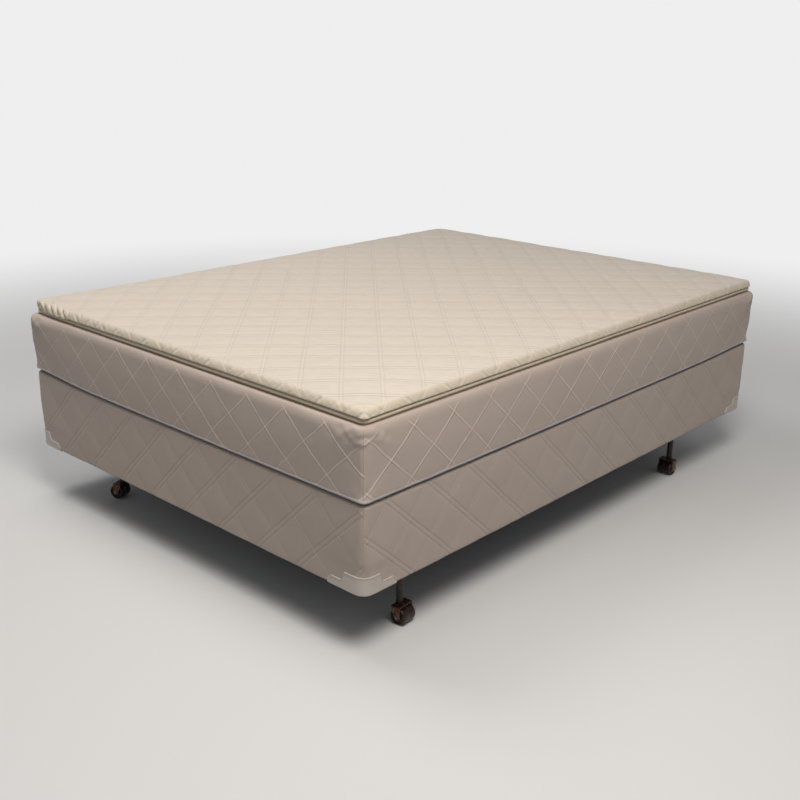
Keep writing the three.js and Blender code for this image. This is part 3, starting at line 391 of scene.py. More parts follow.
class Graph:
    """A material's nodes and its shade so far, with short calls for what the finishes use."""

    def __init__(self, name, colour, roughness, metallic=0.0, sheen=0.0, specular=0.5):
        self.material = bpy.data.materials.new(name)
        self.material.use_nodes = True
        self.nodes = self.material.node_tree.nodes
        self.links = self.material.node_tree.links
        self.shader = next(n for n in self.nodes if n.type == "BSDF_PRINCIPLED")
        self.colour = self.shade = colour
        self.roughness = roughness
        self.set_shader("Roughness", roughness)
        self.set_shader("Metallic", metallic)
        self.set_shader("Sheen Weight", sheen)
        self.set_shader("Sheen Roughness", 0.5)
        self.set_shader("Specular IOR Level", specular)

    def set_shader(self, key, value):
        self.put(self.shader.inputs[key], value)

    def put(self, socket, value):
        """Links a value to a socket where it is one, or else sets it."""
        if isinstance(value, bpy.types.NodeSocket):
            self.links.new(value, socket)
        elif isinstance(value, tuple) and socket.type == "RGBA":
            socket.default_value = (*value, 1.0)
        else:
            socket.default_value = value

    def node(self, kind, **values):
        """A node of a kind, with some of its sockets set by name."""
        node = self.nodes.new("ShaderNode" + kind)
        for key, value in values.items():
            self.put(node.inputs[key], value)
        return node

    def math(self, operation, *values):
        node = self.node("Math")
        node.operation = operation
        for socket, value in zip(node.inputs, values):
            self.put(socket, value)
        return node.outputs[0]

    def times(self, *values):
        total = values[0]
        for value in values[1:]:
            total = self.math("MULTIPLY", total, value)
        return total

    def sum(self, *values):
        total = values[0]
        for value in values[1:]:
            total = self.math("ADD", total, value)
        return total

    def less(self, first, second):
        return self.math("SUBTRACT", first, second)

    def size(self, value):
        return self.math("ABSOLUTE", value)

    def blend(self, *parts):
        """The sum of (value, factor) pairs."""
        return self.sum(*[self.times(value, factor) for value, factor in parts])

    def fade(self, value, start, end):
        """1 at start, 0 at end, eased."""
        node = self.node("MapRange", **{"Value": value, "From Min": end, "From Max": start})
        node.interpolation_type = "SMOOTHSTEP"
        return node.outputs["Result"]

    def mix(self, factor, first, second):
        node = self.node("Mix")
        node.data_type = "RGBA"
        for socket, value in zip([s for s in node.inputs if s.enabled], (factor, first, second)):
            self.put(socket, value)
        return next(s for s in node.outputs if s.enabled)

    def mottle(self, scale, detail, dark, light):
        """Starts the shade with soft patches between a dark and a light tone of the colour."""
        patches = self.noise(scale, detail)
        self.shade = self.mix(patches, tone(self.colour, dark), tone(self.colour, light))

    def mark(self, factor, amount):
        """Lays a darker or lighter tone of the colour over the shade."""
        self.shade = self.mix(factor, self.shade, tone(self.colour, amount))

    def place(self, scale=(1, 1, 1), turn=(0, 0, 0)):
        """The point's place on its object, scaled and turned."""
        place = self.node("TexCoord").outputs["Object"]
        return self.node("Mapping", Vector=place, Scale=scale, Rotation=turn).outputs["Vector"]

    def split(self, vector):
        return self.node("SeparateXYZ", Vector=vector).outputs

    def quilt(self):
        """The two numbers that the quilt map holds."""
        uv = self.node("UVMap")
        uv.uv_map = "quilt"
        return self.split(uv.outputs["UV"])[:2]

    def noise(self, scale, detail=2.0, stretch=(1, 1, 1), roughness=0.5):
        return self.node("TexNoise", Vector=self.place(stretch), Scale=scale, Detail=detail,
                         Roughness=roughness).outputs["Fac"]

    def cells(self, scale):
        return self.node("TexVoronoi", Vector=self.place(), Scale=scale).outputs["Distance"]

    def wave(self, scale, distortion, place, kind="BANDS"):
        node = self.node("TexWave", Vector=place, Scale=scale, Distortion=distortion)
        node.wave_type = kind
        return node.outputs["Fac"]

    def finish(self, height, uneven=None, spread=0.0):
        """Links the shade, a height in millimetres as relief, and a spread of roughness."""
        self.set_shader("Base Color", self.shade)
        if spread:
            self.set_shader("Roughness", self.sum(self.roughness - spread / 2,
                                                  self.times(uneven, spread)))
        relief = self.node("Bump", Strength=1.0, Distance=0.001, Height=height)
        self.set_shader("Normal", relief.outputs["Normal"])
        return self.material


STITCH = 0.0022
RIBS = ((6.0, 0.6), (3.0, 0.4))
SEAM_WIDTH = 0.0032
WEFT_TURN = (0.4, 0.3, 0.78)


def quilted_knit(name, colour, styles, ribs=0.0, fading=None, edging=None, seamed=False, wander=0.03):
    """Quilted knit: twin-needle lines of both families, fine cross ribs and small stitches.
    styles gives, for each family, the ridge's height and the grooves' depth in millimetres, half
    their gap in metres, how much lighter the ridge is painted, as painted highlight, and how much
    darker the grooves are painted, as painted shade. fading gives the heights between which the
    lines fade out, edging those below which they turn into pinched ticks, on an edge painted
    lighter and warmer as painted light, seamed adds a seam down each corner, and wander is how far
    the lines stray, in pitches."""
    g = Graph(name, colour, 0.9, sheen=0.25, specular=0.2)
    rising, falling = g.quilt()
    drift = g.times(g.less(g.noise(9.0), 0.5), wander)
    x, y, z = g.split(g.place())
    shown = g.fade(z, *fading) if fading else 1.0
    edge = g.fade(z, *edging) if edging else 0.0
    flat = g.less(1.0, edge)
    uneven = g.sum(0.55, g.times(g.fade(g.noise(14.0), 0.7, 0.35), 0.45))
    heights = []
    g.mottle(2.5, 3.0, 0.96, 1.03)
    for phase, (ridge, groove, gap, light, dark) in zip((rising, falling), styles):
        moved = g.sum(phase, drift)
        centred = g.less(g.math("FRACT", g.sum(moved, 0.5)), 0.5)
        distance = g.times(g.size(centred), DIAMOND)
        cord = g.times(g.fade(distance, 0.0, gap), shown, uneven)
        beside = g.times(g.fade(g.size(g.less(distance, gap)), 0.0, gap * 0.7), shown)
        heights += [g.times(cord, g.blend((flat, ridge), (edge, -0.9))), g.times(beside, -groove)]
        # Painted highlight along each line's ridge and painted shade in the grooves beside it.
        g.mark(g.times(cord, flat, light), 1.55)
        g.mark(g.times(beside, flat, dark), 0.55)
        # Painted light on the pillow's rolled edge: a lighter, warmer cream, with painted shade in the
        # pinched ticks and painted highlight beside them.
        if edging:
            g.shade = g.mix(g.times(edge, 0.45), g.shade, LIT_EDGE_CREAM)
            g.mark(g.times(cord, edge, 0.25), 0.5)
            g.mark(g.times(beside, edge, 0.6), 1.3)
    if ribs:
        broken = g.fade(g.noise(1.0, 2.0, (26, 26, 26)), 0.62, 0.4)
        for number, weight in RIBS:
            swing = g.math("SINE", g.times(falling, number * 2 * math.pi))
            heights.append(g.times(swing, broken, ribs * weight))
            g.mark(g.times(g.fade(swing, 1.0, 0.2), broken, 0.40 * weight), 0.8)
    if seamed:
        from_end, from_side = g.less(HALF_LENGTH, g.size(x)), g.less(HALF_WIDTH, g.size(y))
        seam = g.fade(g.size(g.less(from_end, from_side)), 0.0, SEAM_WIDTH)
        heights.append(g.times(seam, 0.9))
        g.mark(g.times(seam, 0.45), 1.3)
    stitches = DIAMOND / STITCH
    first = g.math("SINE", g.times(rising, stitches * 2 * math.pi))
    second = g.math("SINE", g.times(falling, stitches * math.pi))
    heights.append(g.blend((g.times(first, second), 0.1), (g.noise(420.0, 3.0), 0.25)))
    g.mark(g.times(g.noise(260.0), 0.18), 0.84)
    return g.finish(g.sum(*heights))


def plain_knit(name, colour, grain=0.0016):
    g = Graph(name, colour, 0.9, sheen=0.2, specular=0.2)
    weft = g.wave(1 / grain / 2, 1.5, g.place(turn=WEFT_TURN))
    g.mottle(30.0, 4.0, 0.92, 1.05)
    g.mark(g.times(weft, 0.2), 0.75)
    return g.finish(g.blend((weft, 0.15), (g.noise(500.0), 0.2)))


def satin_tape(name, colour):
    g = Graph(name, colour, 0.42, sheen=0.1)
    threads = g.wave(420.0, 0.6, g.place((1, 1, 0.05)))
    g.mottle(14.0, 3.0, 0.86, 1.08)
    g.mark(g.times(threads, 0.25), 0.7)
    return g.finish(g.blend((threads, 0.12), (g.noise(60.0, 3.0), 0.5)))


def foam_finish(name, colour):
    g = Graph(name, colour, 0.95, specular=0.15)
    pores = g.cells(420.0)
    g.mottle(6.0, 3.0, 0.9, 1.06)
    g.mark(g.fade(pores, 0.15, 0.6), 0.6)
    return g.finish(g.blend((pores, 0.7), (g.noise(90.0, 4.0), 0.5)))


def vinyl_finish(name, colour, rough, relief):
    g = Graph(name, colour, rough)
    g.mottle(4.0, 3.0, 0.85, 1.12)
    g.mark(g.times(g.cells(300.0), 0.12), 0.6)
    return g.finish(g.blend((g.noise(22.0, 4.0), relief), (g.cells(520.0), 0.08)),
                    g.noise(35.0, 3.0), 0.12)


def fibre_finish(name, colour):
    g = Graph(name, colour, 0.95, sheen=0.3, specular=0.1)
    strands = g.noise(60.0, 6.0, (1, 3, 2), 0.7)
    g.shade = g.mix(strands, tone(colour, 0.82), tone(colour, 1.06))
    return g.finish(g.blend((strands, 2.0), (g.noise(400.0, 4.0), 0.6)))


def water_finish(name, colour):
    g = Graph(name, colour, 0.05)
    g.set_shader("Transmission Weight", 0.8)
    g.set_shader("IOR", 1.33)
    g.mottle(2.0, 2.0, 0.92, 1.05)
    return g.finish(g.times(g.noise(5.0), 1.5))


def plastic_finish(name, colour, rough, wear=0.0):
    g = Graph(name, colour, rough)
    g.mottle(18.0, 4.0, 0.9, 1.08)
    if wear:
        g.mark(g.times(g.fade(g.noise(120.0, 5.0, (1, 1, 0.3), 0.65), 0.72, 0.55), wear), 2.2)
    return g.finish(g.blend((g.noise(900.0), 0.04), (g.noise(25.0), 0.3)), g.noise(70.0, 4.0), 0.16)


def painted_steel(name, colour, rough, edge):
    """Lacquered steel whose sharp edges are painted a brighter tone in patches, as a painted highlight."""
    g = Graph(name, colour, rough, metallic=0.3)
    # Painted highlight: sharp edges, found by pointiness, painted brighter in noisy patches.
    edge_highlight = g.fade(g.node("NewGeometry").outputs["Pointiness"], 0.62, 0.53)
    patchy_highlight = g.times(edge_highlight, g.fade(g.noise(160.0, 4.0), 0.6, 0.35))
    g.mottle(25.0, 5.0, 0.8, 1.25)
    g.shade = g.mix(patchy_highlight, g.shade, edge)
    return g.finish(g.blend((g.noise(700.0), 0.05), (g.noise(45.0, 3.0), 0.15)), g.noise(80.0, 4.0), 0.2)


def brushed_metal(name, colour, rough):
    g = Graph(name, colour, rough, metallic=1.0)
    lines = g.noise(80.0, 3.0, (1, 1, 18))
    g.shade = g.mix(lines, tone(colour, 0.8), tone(colour, 1.15))
    return g.finish(g.times(lines, 0.08), lines, 0.16)


def sawn_wood(name, colour, stretch, rings):
    """Sawn timber, whose grain runs along the axis that is stretched most."""
    g = Graph(name, colour, 0.75, specular=0.3)
    grain = g.wave(rings, 6.0, g.place(stretch), "RINGS")
    fine_grain = g.noise(160.0, 5.0, stretch, 0.6)
    g.shade = g.mix(grain, tone(colour, 0.78), tone(colour, 1.12))
    g.mark(g.times(fine_grain, 0.35), 0.6)
    return g.finish(g.blend((fine_grain, 0.5), (grain, 0.15)))


def spun_cloth(name, colour):
    g = Graph(name, colour, 0.95, specular=0.1)
    dots = g.cells(700.0)
    g.mottle(40.0, 5.0, 0.7, 1.5)
    g.mark(g.fade(dots, 0.0, 0.35), 1.9)
    return g.finish(g.blend((dots, 0.15), (g.noise(120.0, 4.0), 0.3)))


CREAM = (0.79, 0.70, 0.60)
# The walls' cream: the top's cream fabric painted darker as painted shade, for the casing's and
# foundation's walls.
SHADED_SIDE_CREAM = (0.62, 0.518, 0.452)
# The pillow's rolled edge: the top's cream painted lighter and warmer as painted light.
LIT_EDGE_CREAM = (0.86, 0.74, 0.56)
PINE = (0.57, 0.35, 0.14)
GRAIN_X = (0.06, 1.0, 1.0)
GRAIN_Y = (1.0, 0.06, 1.0)
finish_top = quilted_knit(
    "knit_top", CREAM, ((0.30, 0.55, 0.0044, 0.14, 0.15), (0.40, 0.85, 0.0064, 0.16, 0.24)),
    ribs=0.70, edging=(0.668, 0.677))
finish_casing = quilted_knit(
    "knit_casing", SHADED_SIDE_CREAM, ((1.5, 0.15, 0.0054, 0.82, 0.03), (1.1, 0.15, 0.0044, 0.52, 0.04)),
    fading=(0.606, 0.630), seamed=True, wander=0.10)
# The foundation's walls: the same cream, painted darker still as painted shade.
finish_foundation = quilted_knit(
    "knit_foundation", tone(SHADED_SIDE_CREAM, 0.93),
    ((0.6, 0.1, 0.0038, 0.26, 0.03), (0.25, 0.65, 0.0062, 0.05, 0.13)), seamed=True)
finish_welt = plain_knit("knit_welt", (0.80, 0.71, 0.56))
# The zipper's khaki tape, darkened to brown as painted shade under the welt and the pillow.
finish_tape_and_shade = plain_knit("knit_tape_and_shade", (0.46, 0.36, 0.28))
# Near-black painted shade for the gap between the casing and the foundation.
finish_painted_shade = plain_knit("knit_painted_shade", (0.03, 0.028, 0.028))
finish_lining = plain_knit("knit_lining", tone(CREAM, 0.95), 0.0022)
finish_teeth = plastic_finish("zipper_teeth", (0.42, 0.38, 0.31), 0.4)
finish_edge_tape = satin_tape("edge_tape", (0.61, 0.575, 0.585))
finish_foam = foam_finish("foam", (0.80, 0.75, 0.63))
finish_fibre = fibre_finish("fibre", (0.86, 0.84, 0.80))
finish_liner = vinyl_finish("liner_vinyl", (0.07, 0.1, 0.13), 0.5, 1.0)
finish_bladder = vinyl_finish("bladder_vinyl", (0.20, 0.36, 0.50), 0.3, 0.8)
finish_water = water_finish("water", (0.4, 0.62, 0.74))
finish_heater = plastic_finish("heater", (0.03, 0.03, 0.03), 0.5)
finish_black = plastic_finish("black_plastic", (0.013, 0.012, 0.011), 0.5)
finish_guard = plastic_finish("guard_plastic", (0.66, 0.595, 0.54), 0.36)
finish_pine_x = sawn_wood("pine_lengthwise", PINE, GRAIN_X, 9.0)
finish_pine_y = sawn_wood("pine_crosswise", PINE, GRAIN_Y, 9.0)
finish_plywood = sawn_wood("plywood", (0.5, 0.3, 0.12), GRAIN_X, 3.0)
finish_dust = spun_cloth("dust_cover_cloth", (0.022, 0.022, 0.024))
# The last colour of each painted steel is its painted highlight on sharp edges.
finish_frame = painted_steel("brown_steel", (0.013, 0.008, 0.006), 0.42, (0.05, 0.034, 0.026))
finish_yoke = painted_steel("yoke_steel", (0.032, 0.012, 0.008), 0.40, (0.30, 0.15, 0.09))
finish_roller = plastic_finish("roller", (0.024, 0.010, 0.008), 0.38, wear=0.3)
finish_axle = brushed_metal("axle_steel", (0.3, 0.28, 0.25), 0.35)
finish_slider = brushed_metal("zipper_metal", (0.5, 0.44, 0.33), 0.35)


# Mattress casing

CASING_BULGE = 0.008
CASING_BASE_BULGE = 0.003
SHOULDER_DROP = 0.028
SHOULDER_INSET = 0.004
GAP = 0.0065
CASING_SHARPNESS = 0.0062
CASING_RELIEF = 0.0009
TAPE_INSET = 0.014
CASING_TRIAL_ROWS = 12
CASING_PRESSURE = 4.0
CASING_CAP = 0.005
# Amounts at the bed's corners, as (sign of X, sign of Y, reach, amount)
CASING_LIFTS = ((-1, -1, 0.20, 0.0015), (-1, 1, 0.20, 0.014), (1, -1, 0.26, 0.009), (1, 1, 0.24, 0.009))
CASING_LEANS = ((-1, 1, 0.16, 0.003), (1, -1, 0.16, 0.003))

# How the casing's wall leans, sharpens and creases
LEFT_LEAN = 0.002
FOOT_LEAN = 0.001
LEAN_RISE = (-0.1, 0.75)
LEAN_FALL = (0.86, 1.04)
SHARPNESS_FADE = (0.585, 0.612)
SHOULDER_SHAPE = 1.2
CASING_QUILT_FADE = (0.60, 0.628)
CASING_WAVE = 0.11
TUG_DEPTH = 0.0016
TUG_WAVE = 0.028
TUG_LEVEL = 0.598
TUG_REACH = 0.022
CREASE_DEPTH = 0.004
CREASE_LEVEL = 0.596
CREASE_REACH = 0.007
BASE_EASE = 0.014
BASE_ROWS = 4
BASE_INSETS = (0.020, 0.010, 0.007)


def at_corners(outline, amounts):
    """What the corners' amounts add up to round the outline."""
    return sum(amount * outline.near(x, y, reach) for x, y, reach, amount in amounts)


def casing_rings(outline, rows):
    """Insets and heights of the casing's outer face, from its base up to its top edge."""
    level = casing_low.z + GAP
    shoulder = casing_high.z - SHOULDER_DROP
    shoulder_rows = rows // 4
    share = np.linspace(0, 1, rows - shoulder_rows)
    inset = -(CASING_BASE_BULGE + (CASING_BULGE - CASING_BASE_BULGE) * np.sin(share * math.pi / 2))
    height = level + share * (shoulder - level)
    angle = np.linspace(0, math.pi / 2, shoulder_rows + 1)[1:]
    turned = (1 - np.cos(angle)) ** SHOULDER_SHAPE
    inset = np.append(inset, -CASING_BULGE + (CASING_BULGE + SHOULDER_INSET) * turned)[:, None]
    height = np.append(height, shoulder + SHOULDER_DROP * np.sin(angle))[:, None]
    rise = (height - casing_low.z) / (casing_high.z - casing_low.z)
    lean = at_corners(outline, CASING_LEANS) + LEFT_LEAN * smooth(outline.out[:, 1], 0.2, 1)
    lean += FOOT_LEAN * smooth(-outline.out[:, 0], 0.2, 1)
    inset = inset - smooth(rise, *LEAN_RISE) * (1 - smooth(rise, *LEAN_FALL)) * lean
    inset = inset - CASING_SHARPNESS * outline.turning ** 2 * (1 - smooth(height, *SHARPNESS_FADE))
    return inset, height + at_corners(outline, CASING_LIFTS) * (1 - smooth(rise, 0, 0.75)), height


def casing_cloth(outline, pushed=None):
    """The casing's outer face with its quilting and creases, and each row's height."""
    inset, lifted, height = casing_rings(outline, WALL_ROWS)
    phases = wall_phases(CASING_LINES, outline.side, outline.place, height)
    relief = swell(phases, WALL_REACH) * (1 - 0.7 * smooth(height, *CASING_QUILT_FADE))
    relief = CASING_RELIEF * (relief + waves(outline.place, height, CASING_WAVE, seed=3))
    tugs = waves(outline.place, height, TUG_WAVE, seed=5) * outline.near(-1, -1, 0.06)
    relief += TUG_DEPTH * tugs * bump(height - TUG_LEVEL, TUG_REACH)
    crease = outline.turning ** 4 * outline.near(-1, -1, 0.05)
    relief += CREASE_DEPTH * crease * bump(height - CREASE_LEVEL, CREASE_REACH)
    relief *= smooth(height - casing_low.z, GAP, GAP + BASE_EASE)
    if pushed is not None:
        relief += refine(pushed, WALL_ROWS)
    return outline.points(inset - relief, lifted), height[:, 0]


def puffed_casing():
    """How far a cloth trial pushes each part of the casing's wall beyond its row's average."""
    points, _ = casing_cloth(coarse)
    rings = points[np.linspace(0, len(points) - 1, CASING_TRIAL_ROWS).round().astype(int)]
    held = np.zeros(rings.shape[:2])
    held[0] = held[-1] = 1
    faces = ring_faces(len(rings), coarse.count).tolist()
    moved = settle("casing_trial", rings, faces, held.ravel(), CASING_PRESSURE)
    push = ((moved - rings)[..., :2] * coarse.out).sum(axis=2)
    push = push - push.mean(axis=1, keepdims=True)
    return np.clip(push, -CASING_CAP, CASING_CAP)


def quilted_wall(name, rings, lines, heights, close_level, first=0, up=False):
    """A quilted wall of rings, shut by a fan at a level: the piece, its points and its faces."""
    faces = ring_faces(len(rings), fine.count).tolist()

    def phases(side, place, row):
        return wall_phases(lines, side, place, heights[row])

    quilt = ring_values(fine, len(rings), phases).reshape(-1, 2)
    points = shut(rings.reshape(-1, 3), faces, fine.count, close_level, first, up)
    return new_mesh(name, points, faces, quilt), points, faces


def build_casing(pushed):
    """The casing with its turned-in base, painted near-black below as painted shade, and its top edge."""
    points, height = casing_cloth(fine, pushed)
    lift = at_corners(fine, CASING_LIFTS)
    floor = casing_low.z + lift * 0.98
    low_inset = CORNER_RADIUS - np.linalg.norm(points[0, :, :2] - fine.base, axis=1)
    insets = [CORNER_RADIUS + 0 * lift, *(low_inset + further for further in BASE_INSETS)]
    levels = [casing_low.z + lift * 0.4, floor + 0.0002, floor + GAP * 0.35, floor + GAP * 0.9]
    over = fine.points(fine.spread([TAPE_INSET + 0.001]), casing_high.z - 0.0002)
    rings = np.concatenate([fine.points(np.stack(insets), np.stack(levels)), points, over])
    heights = np.concatenate([np.full(BASE_ROWS, casing_low.z), height, [casing_high.z + 0.01]])
    casing, points, faces = quilted_wall("mattress_casing", rings, CASING_LINES, heights,
                                         casing_low.z + 0.001)
    # Faces of the turned-in base and its fan below this level take the near-black painted shade.
    level = casing_low.z + GAP * 0.95 + lift.max()
    below = np.zeros(len(faces), np.int32)
    for index in (*range(BASE_ROWS * fine.count), *range(len(faces) - fine.count, len(faces))):
        below[index] = points[faces[index], 2].max() < level
    dress(casing, "bed_base", "knit_side", finish_casing, finish_painted_shade, replaces=["casing_cover"])
    set_faces(casing.data, "material_index", below)
    rework(casing, lambda work: bmesh.ops.remove_doubles(work, verts=work.verts, dist=0.00001))


# Satin tape

EDGE_TAPE_ROWS = 9
EDGE_TAPE_STAND = 0.0006
EDGE_TAPE_CROWN = 0.0017
EDGE_TAPE_STITCH = 0.0006
EDGE_TAPE_RIPPLE = 0.0003


def build_edge_tape(pushed):
    """The satin tape along the casing's base, with a stitched line along its middle."""
    points, height = casing_cloth(fine, pushed)
    out = CORNER_RADIUS - np.linalg.norm(points[..., :2] - fine.base, axis=2)
    low, high = casing_low.z + GAP + 0.0008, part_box("bottom_edge_tape")[1].z - 0.0004
    share = np.linspace(0, 1, EDGE_TAPE_ROWS)
    row = np.interp(low + share * (high - low), height, np.arange(len(height)))
    lower = np.minimum(row.astype(int), len(height) - 2)
    blend = (row - lower)[:, None]
    stand = EDGE_TAPE_CROWN * np.sin(math.pi * np.clip(share, 0.06, 0.94)) ** 0.5
    stand += EDGE_TAPE_STAND - EDGE_TAPE_STITCH * bump(share - 0.5, 0.09)
    inset = out[lower] * (1 - blend) + out[lower + 1] * blend - stand[:, None]
    z = points[lower, :, 2] * (1 - blend) + points[lower + 1, :, 2] * blend
    z += EDGE_TAPE_RIPPLE * waves(fine.place, 0.01 * share[:, None], 0.035, seed=8)
    back = out[3] + 0.0002
    rings = fine.points(np.vstack([inset, back, back]), np.vstack([z, z[-1], z[0]]))
    faces = ring_faces(len(rings), fine.count, closed=True).tolist()
    tape = new_mesh("bottom_edge_satin", rings, faces)
    dress(tape, "bed_base", "edge_tape", finish_edge_tape, replaces=["bottom_edge_tape"])


# Zipper band

TAPE_FOOT_INSET = 0.0095
TAPE_THICKNESS = 0.003
WELT_REACH = 0.0088
WELT_HEIGHT = 0.0122
WELT_STEPS = 14
WELT_LEVEL = band_high.z - 0.0012 - WELT_HEIGHT / 2
WELT_PULLS = ((-1, 1, 0.35, 0.0030), (-1, 1, 0.09, 0.0040))
WELT_SAGS = ((-1, -1, 0.12, 0.0012),)
WELT_CORDING = 0.0004
WELT_WANDER = 0.0007
TOOTH_PITCH = 0.0028
TOOTH_REACH = 0.0009
TOOTH_HALF = (0.0009, 0.0022)
TOOTH_OFFSET = 0.0006


def build_zipper_band():
    """An upright tape with a round, corded welt near its top."""
    low, high = band_low.z, band_high.z
    profile = [(TAPE_INSET + TAPE_THICKNESS, low), (TAPE_FOOT_INSET, low),
               (TAPE_FOOT_INSET + 0.0005, low + 0.002)]
    for angle in np.linspace(0, math.pi, WELT_STEPS + 1):
        profile.append((TAPE_INSET - WELT_REACH * math.sin(angle),
                        WELT_LEVEL - WELT_HEIGHT / 2 * math.cos(angle)))
    profile += [(TAPE_INSET, high), (TAPE_INSET + TAPE_THICKNESS, high)]
    insets, heights = fine.spread(np.array(profile).T)
    cord = smooth(TAPE_INSET - insets, 0.0, 0.004)
    insets += cord * at_corners(fine, WELT_PULLS)
    insets -= cord * WELT_CORDING * waves(fine.place, heights, 0.02, seed=12)
    heights -= cord * at_corners(fine, WELT_SAGS)
    heights += cord * WELT_WANDER * waves(fine.place, 0 * heights, 0.30, seed=14)
    rings = fine.points(insets, heights)
    band = new_mesh("zipper_band_cloth", rings, ring_faces(len(rings), fine.count, True).tolist())
    on_welt = np.isin(np.arange(len(rings)), np.arange(3, 3 + WELT_STEPS))
    # The tape above and below the welt takes the tape finish, darkened as painted shade.
    set_faces(band.data, "material_index", np.repeat(1 - on_welt, fine.count).astype(np.int32))
    dress(band, "bed_base", "zipper_tape", finish_welt, finish_tape_and_shade, replaces=["zipper_band"])


def build_zipper_teeth():
    """A row of small teeth along the welt on the head side, where the slider runs."""
    face = HALF_LENGTH - TAPE_INSET + WELT_REACH
    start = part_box("zipper_slider")[0].y - 0.03
    count = int((joints["zipper_slider_run"]["range_m"][1] + 0.08) / TOOTH_PITCH)
    wide, tall = TOOTH_HALF
    points, faces = [], []
    for index in range(count):
        y = start + index * TOOTH_PITCH
        z = WELT_LEVEL + (TOOTH_OFFSET if index % 2 else -TOOTH_OFFSET)
        base = len(points)
        for out, size in ((-0.001, 1.0), (TOOTH_REACH * 0.7, 1.0), (TOOTH_REACH, 0.6)):
            for sign_y, sign_z in ((-1, -1), (1, -1), (1, 1), (-1, 1)):
                points.append((face + out, y + sign_y * wide * size, z + sign_z * tall * size))
        faces += (ring_faces(3, 4) + base).tolist()
        faces += [[base + k for k in (8, 9, 10, 11)], [base + k for k in (3, 2, 1, 0)]]
    teeth = new_mesh("zipper_teeth", points, faces)
    set_faces(teeth.data, "use_smooth", np.zeros(len(faces), bool))
    dress(teeth, "bed_base", "zipper_tape", finish_teeth)


# Pillow top

PILLOW_INSET = 0.003
PILLOW_EDGE_INSET = 0.0180
PILLOW_TOP_INSET = 0.0225
PILLOW_BASE_INSET = 0.0068
PILLOW_ROLL_INSET = 0.0070
PILLOW_CROWN = 0.006
PILLOW_REACH = 0.160
PILLOW_EDGE = pillow_high.z - PILLOW_CROWN
PILLOW_WIDEST = 0.13
PILLOW_ROWS = 18
PILLOW_TRIAL_ROWS = 10
PILLOW_PRESSURE = 1.5
PILLOW_CAP = 0.0022
PILLOW_SINKS = ((-1, -1, 0.0045), (1, -1, 0.002), (1, 1, 0.002))
PILLOW_SHARPNESS = 0.28
PILLOW_BLUNTING = 0.15
PILLOW_PULL = 0.007
PILLOW_LIP = 0.0045
BUNCH_RISE = 0.0032
PINCH = 0.0012
EDGE_PINCH = 0.0007
TOP_WAVE = 0.0006
FOLD_WANDER = 0.22
FOLD_SPREAD = 0.0030
FOLD_RIDGE = 0.22
FOLD_SPACING = 0.036
FOLD_SLANT = 1.25
FOLD_PLACE = 0.650
FOLD_DEPTH = 0.0115


def crown(inset):
    share = np.clip((inset - PILLOW_EDGE_INSET) / (PILLOW_REACH - PILLOW_EDGE_INSET), 0, 1)
    return PILLOW_EDGE + PILLOW_CROWN * np.sin(share * math.pi / 2)


def corner_bump(x, y, sign_x, sign_y, reach):
    return bump(np.hypot(HALF_LENGTH * sign_x - x, HALF_WIDTH * sign_y - y), reach)


def from_edge(x, y):
    return np.minimum(HALF_LENGTH - np.abs(x), HALF_WIDTH - np.abs(y))


def pillow_droop(x, y):
    """How far the top sinks towards three corners, and rises where its edge is bunched."""
    sink = sum(depth * corner_bump(x, y, sx, sy, 0.12) for sx, sy, depth in PILLOW_SINKS)
    return sink - BUNCH_RISE * corner_bump(x, y, -1, 1, 0.2) * bump(from_edge(x, y) - 0.03, 0.05)


def pillow_edge(rows):
    """Insets and heights from the pillow's base round to the rectangle that its corners turn about,
    and how far each row lies from that rectangle along the fabric."""
    wall = max(rows // 3, 4)
    share = np.linspace(0, 1, wall)
    inset = PILLOW_BASE_INSET - (PILLOW_BASE_INSET - PILLOW_INSET) * np.sin(share * math.pi / 2)
    height = pillow_low.z + share * PILLOW_WIDEST * (PILLOW_EDGE - pillow_low.z)
    share = np.linspace(0, 1, rows - wall)[1:]
    lower, middle, upper = (1 - share) ** 2, 2 * share * (1 - share), share ** 2
    rolled = lower * PILLOW_INSET + middle * PILLOW_ROLL_INSET + upper * PILLOW_EDGE_INSET
    inset = np.concatenate([inset, rolled, [PILLOW_TOP_INSET]])
    height = np.concatenate([height, lower * height[-1] + (middle + upper) * PILLOW_EDGE,
                             [crown(PILLOW_TOP_INSET)]])
    length = np.hypot(np.diff(inset), np.diff(height))
    unfolded = np.append(np.cumsum(length[::-1])[::-1], 0) + CORNER_RADIUS - inset[-1]
    return inset, height, unfolded


def unfolded_place(side, place, away, outline):
    """Where a point of the pillow's edge would lie on the flat top, by its side and its distance."""
    x = np.where(side == 1, 1, -1) * (outline.xs[-1] + away)
    y = np.where(side == 2, 1, -1) * (outline.ys[-1] + away)
    return np.where(side % 2 == 0, place, x), np.where(side % 2 == 1, place, y)


def bunched(outline):
    """1 where the foot side's edge is bunched most, near its left corner, down to 0."""
    foot = smooth(-outline.out[:, 0], 0.2, 0.8)
    from_corner = HALF_WIDTH - outline.place
    tail = 0.22 * bump(from_corner - 0.276, 0.018) + 0.12 * bump(from_corner - 0.431, 0.016)
    main = (1 - smooth(from_corner, 0.19, 0.23)) * smooth(from_corner, 0.03, 0.065)
    return foot * np.clip(main + tail, 0, 1) * (outline.side == 3)


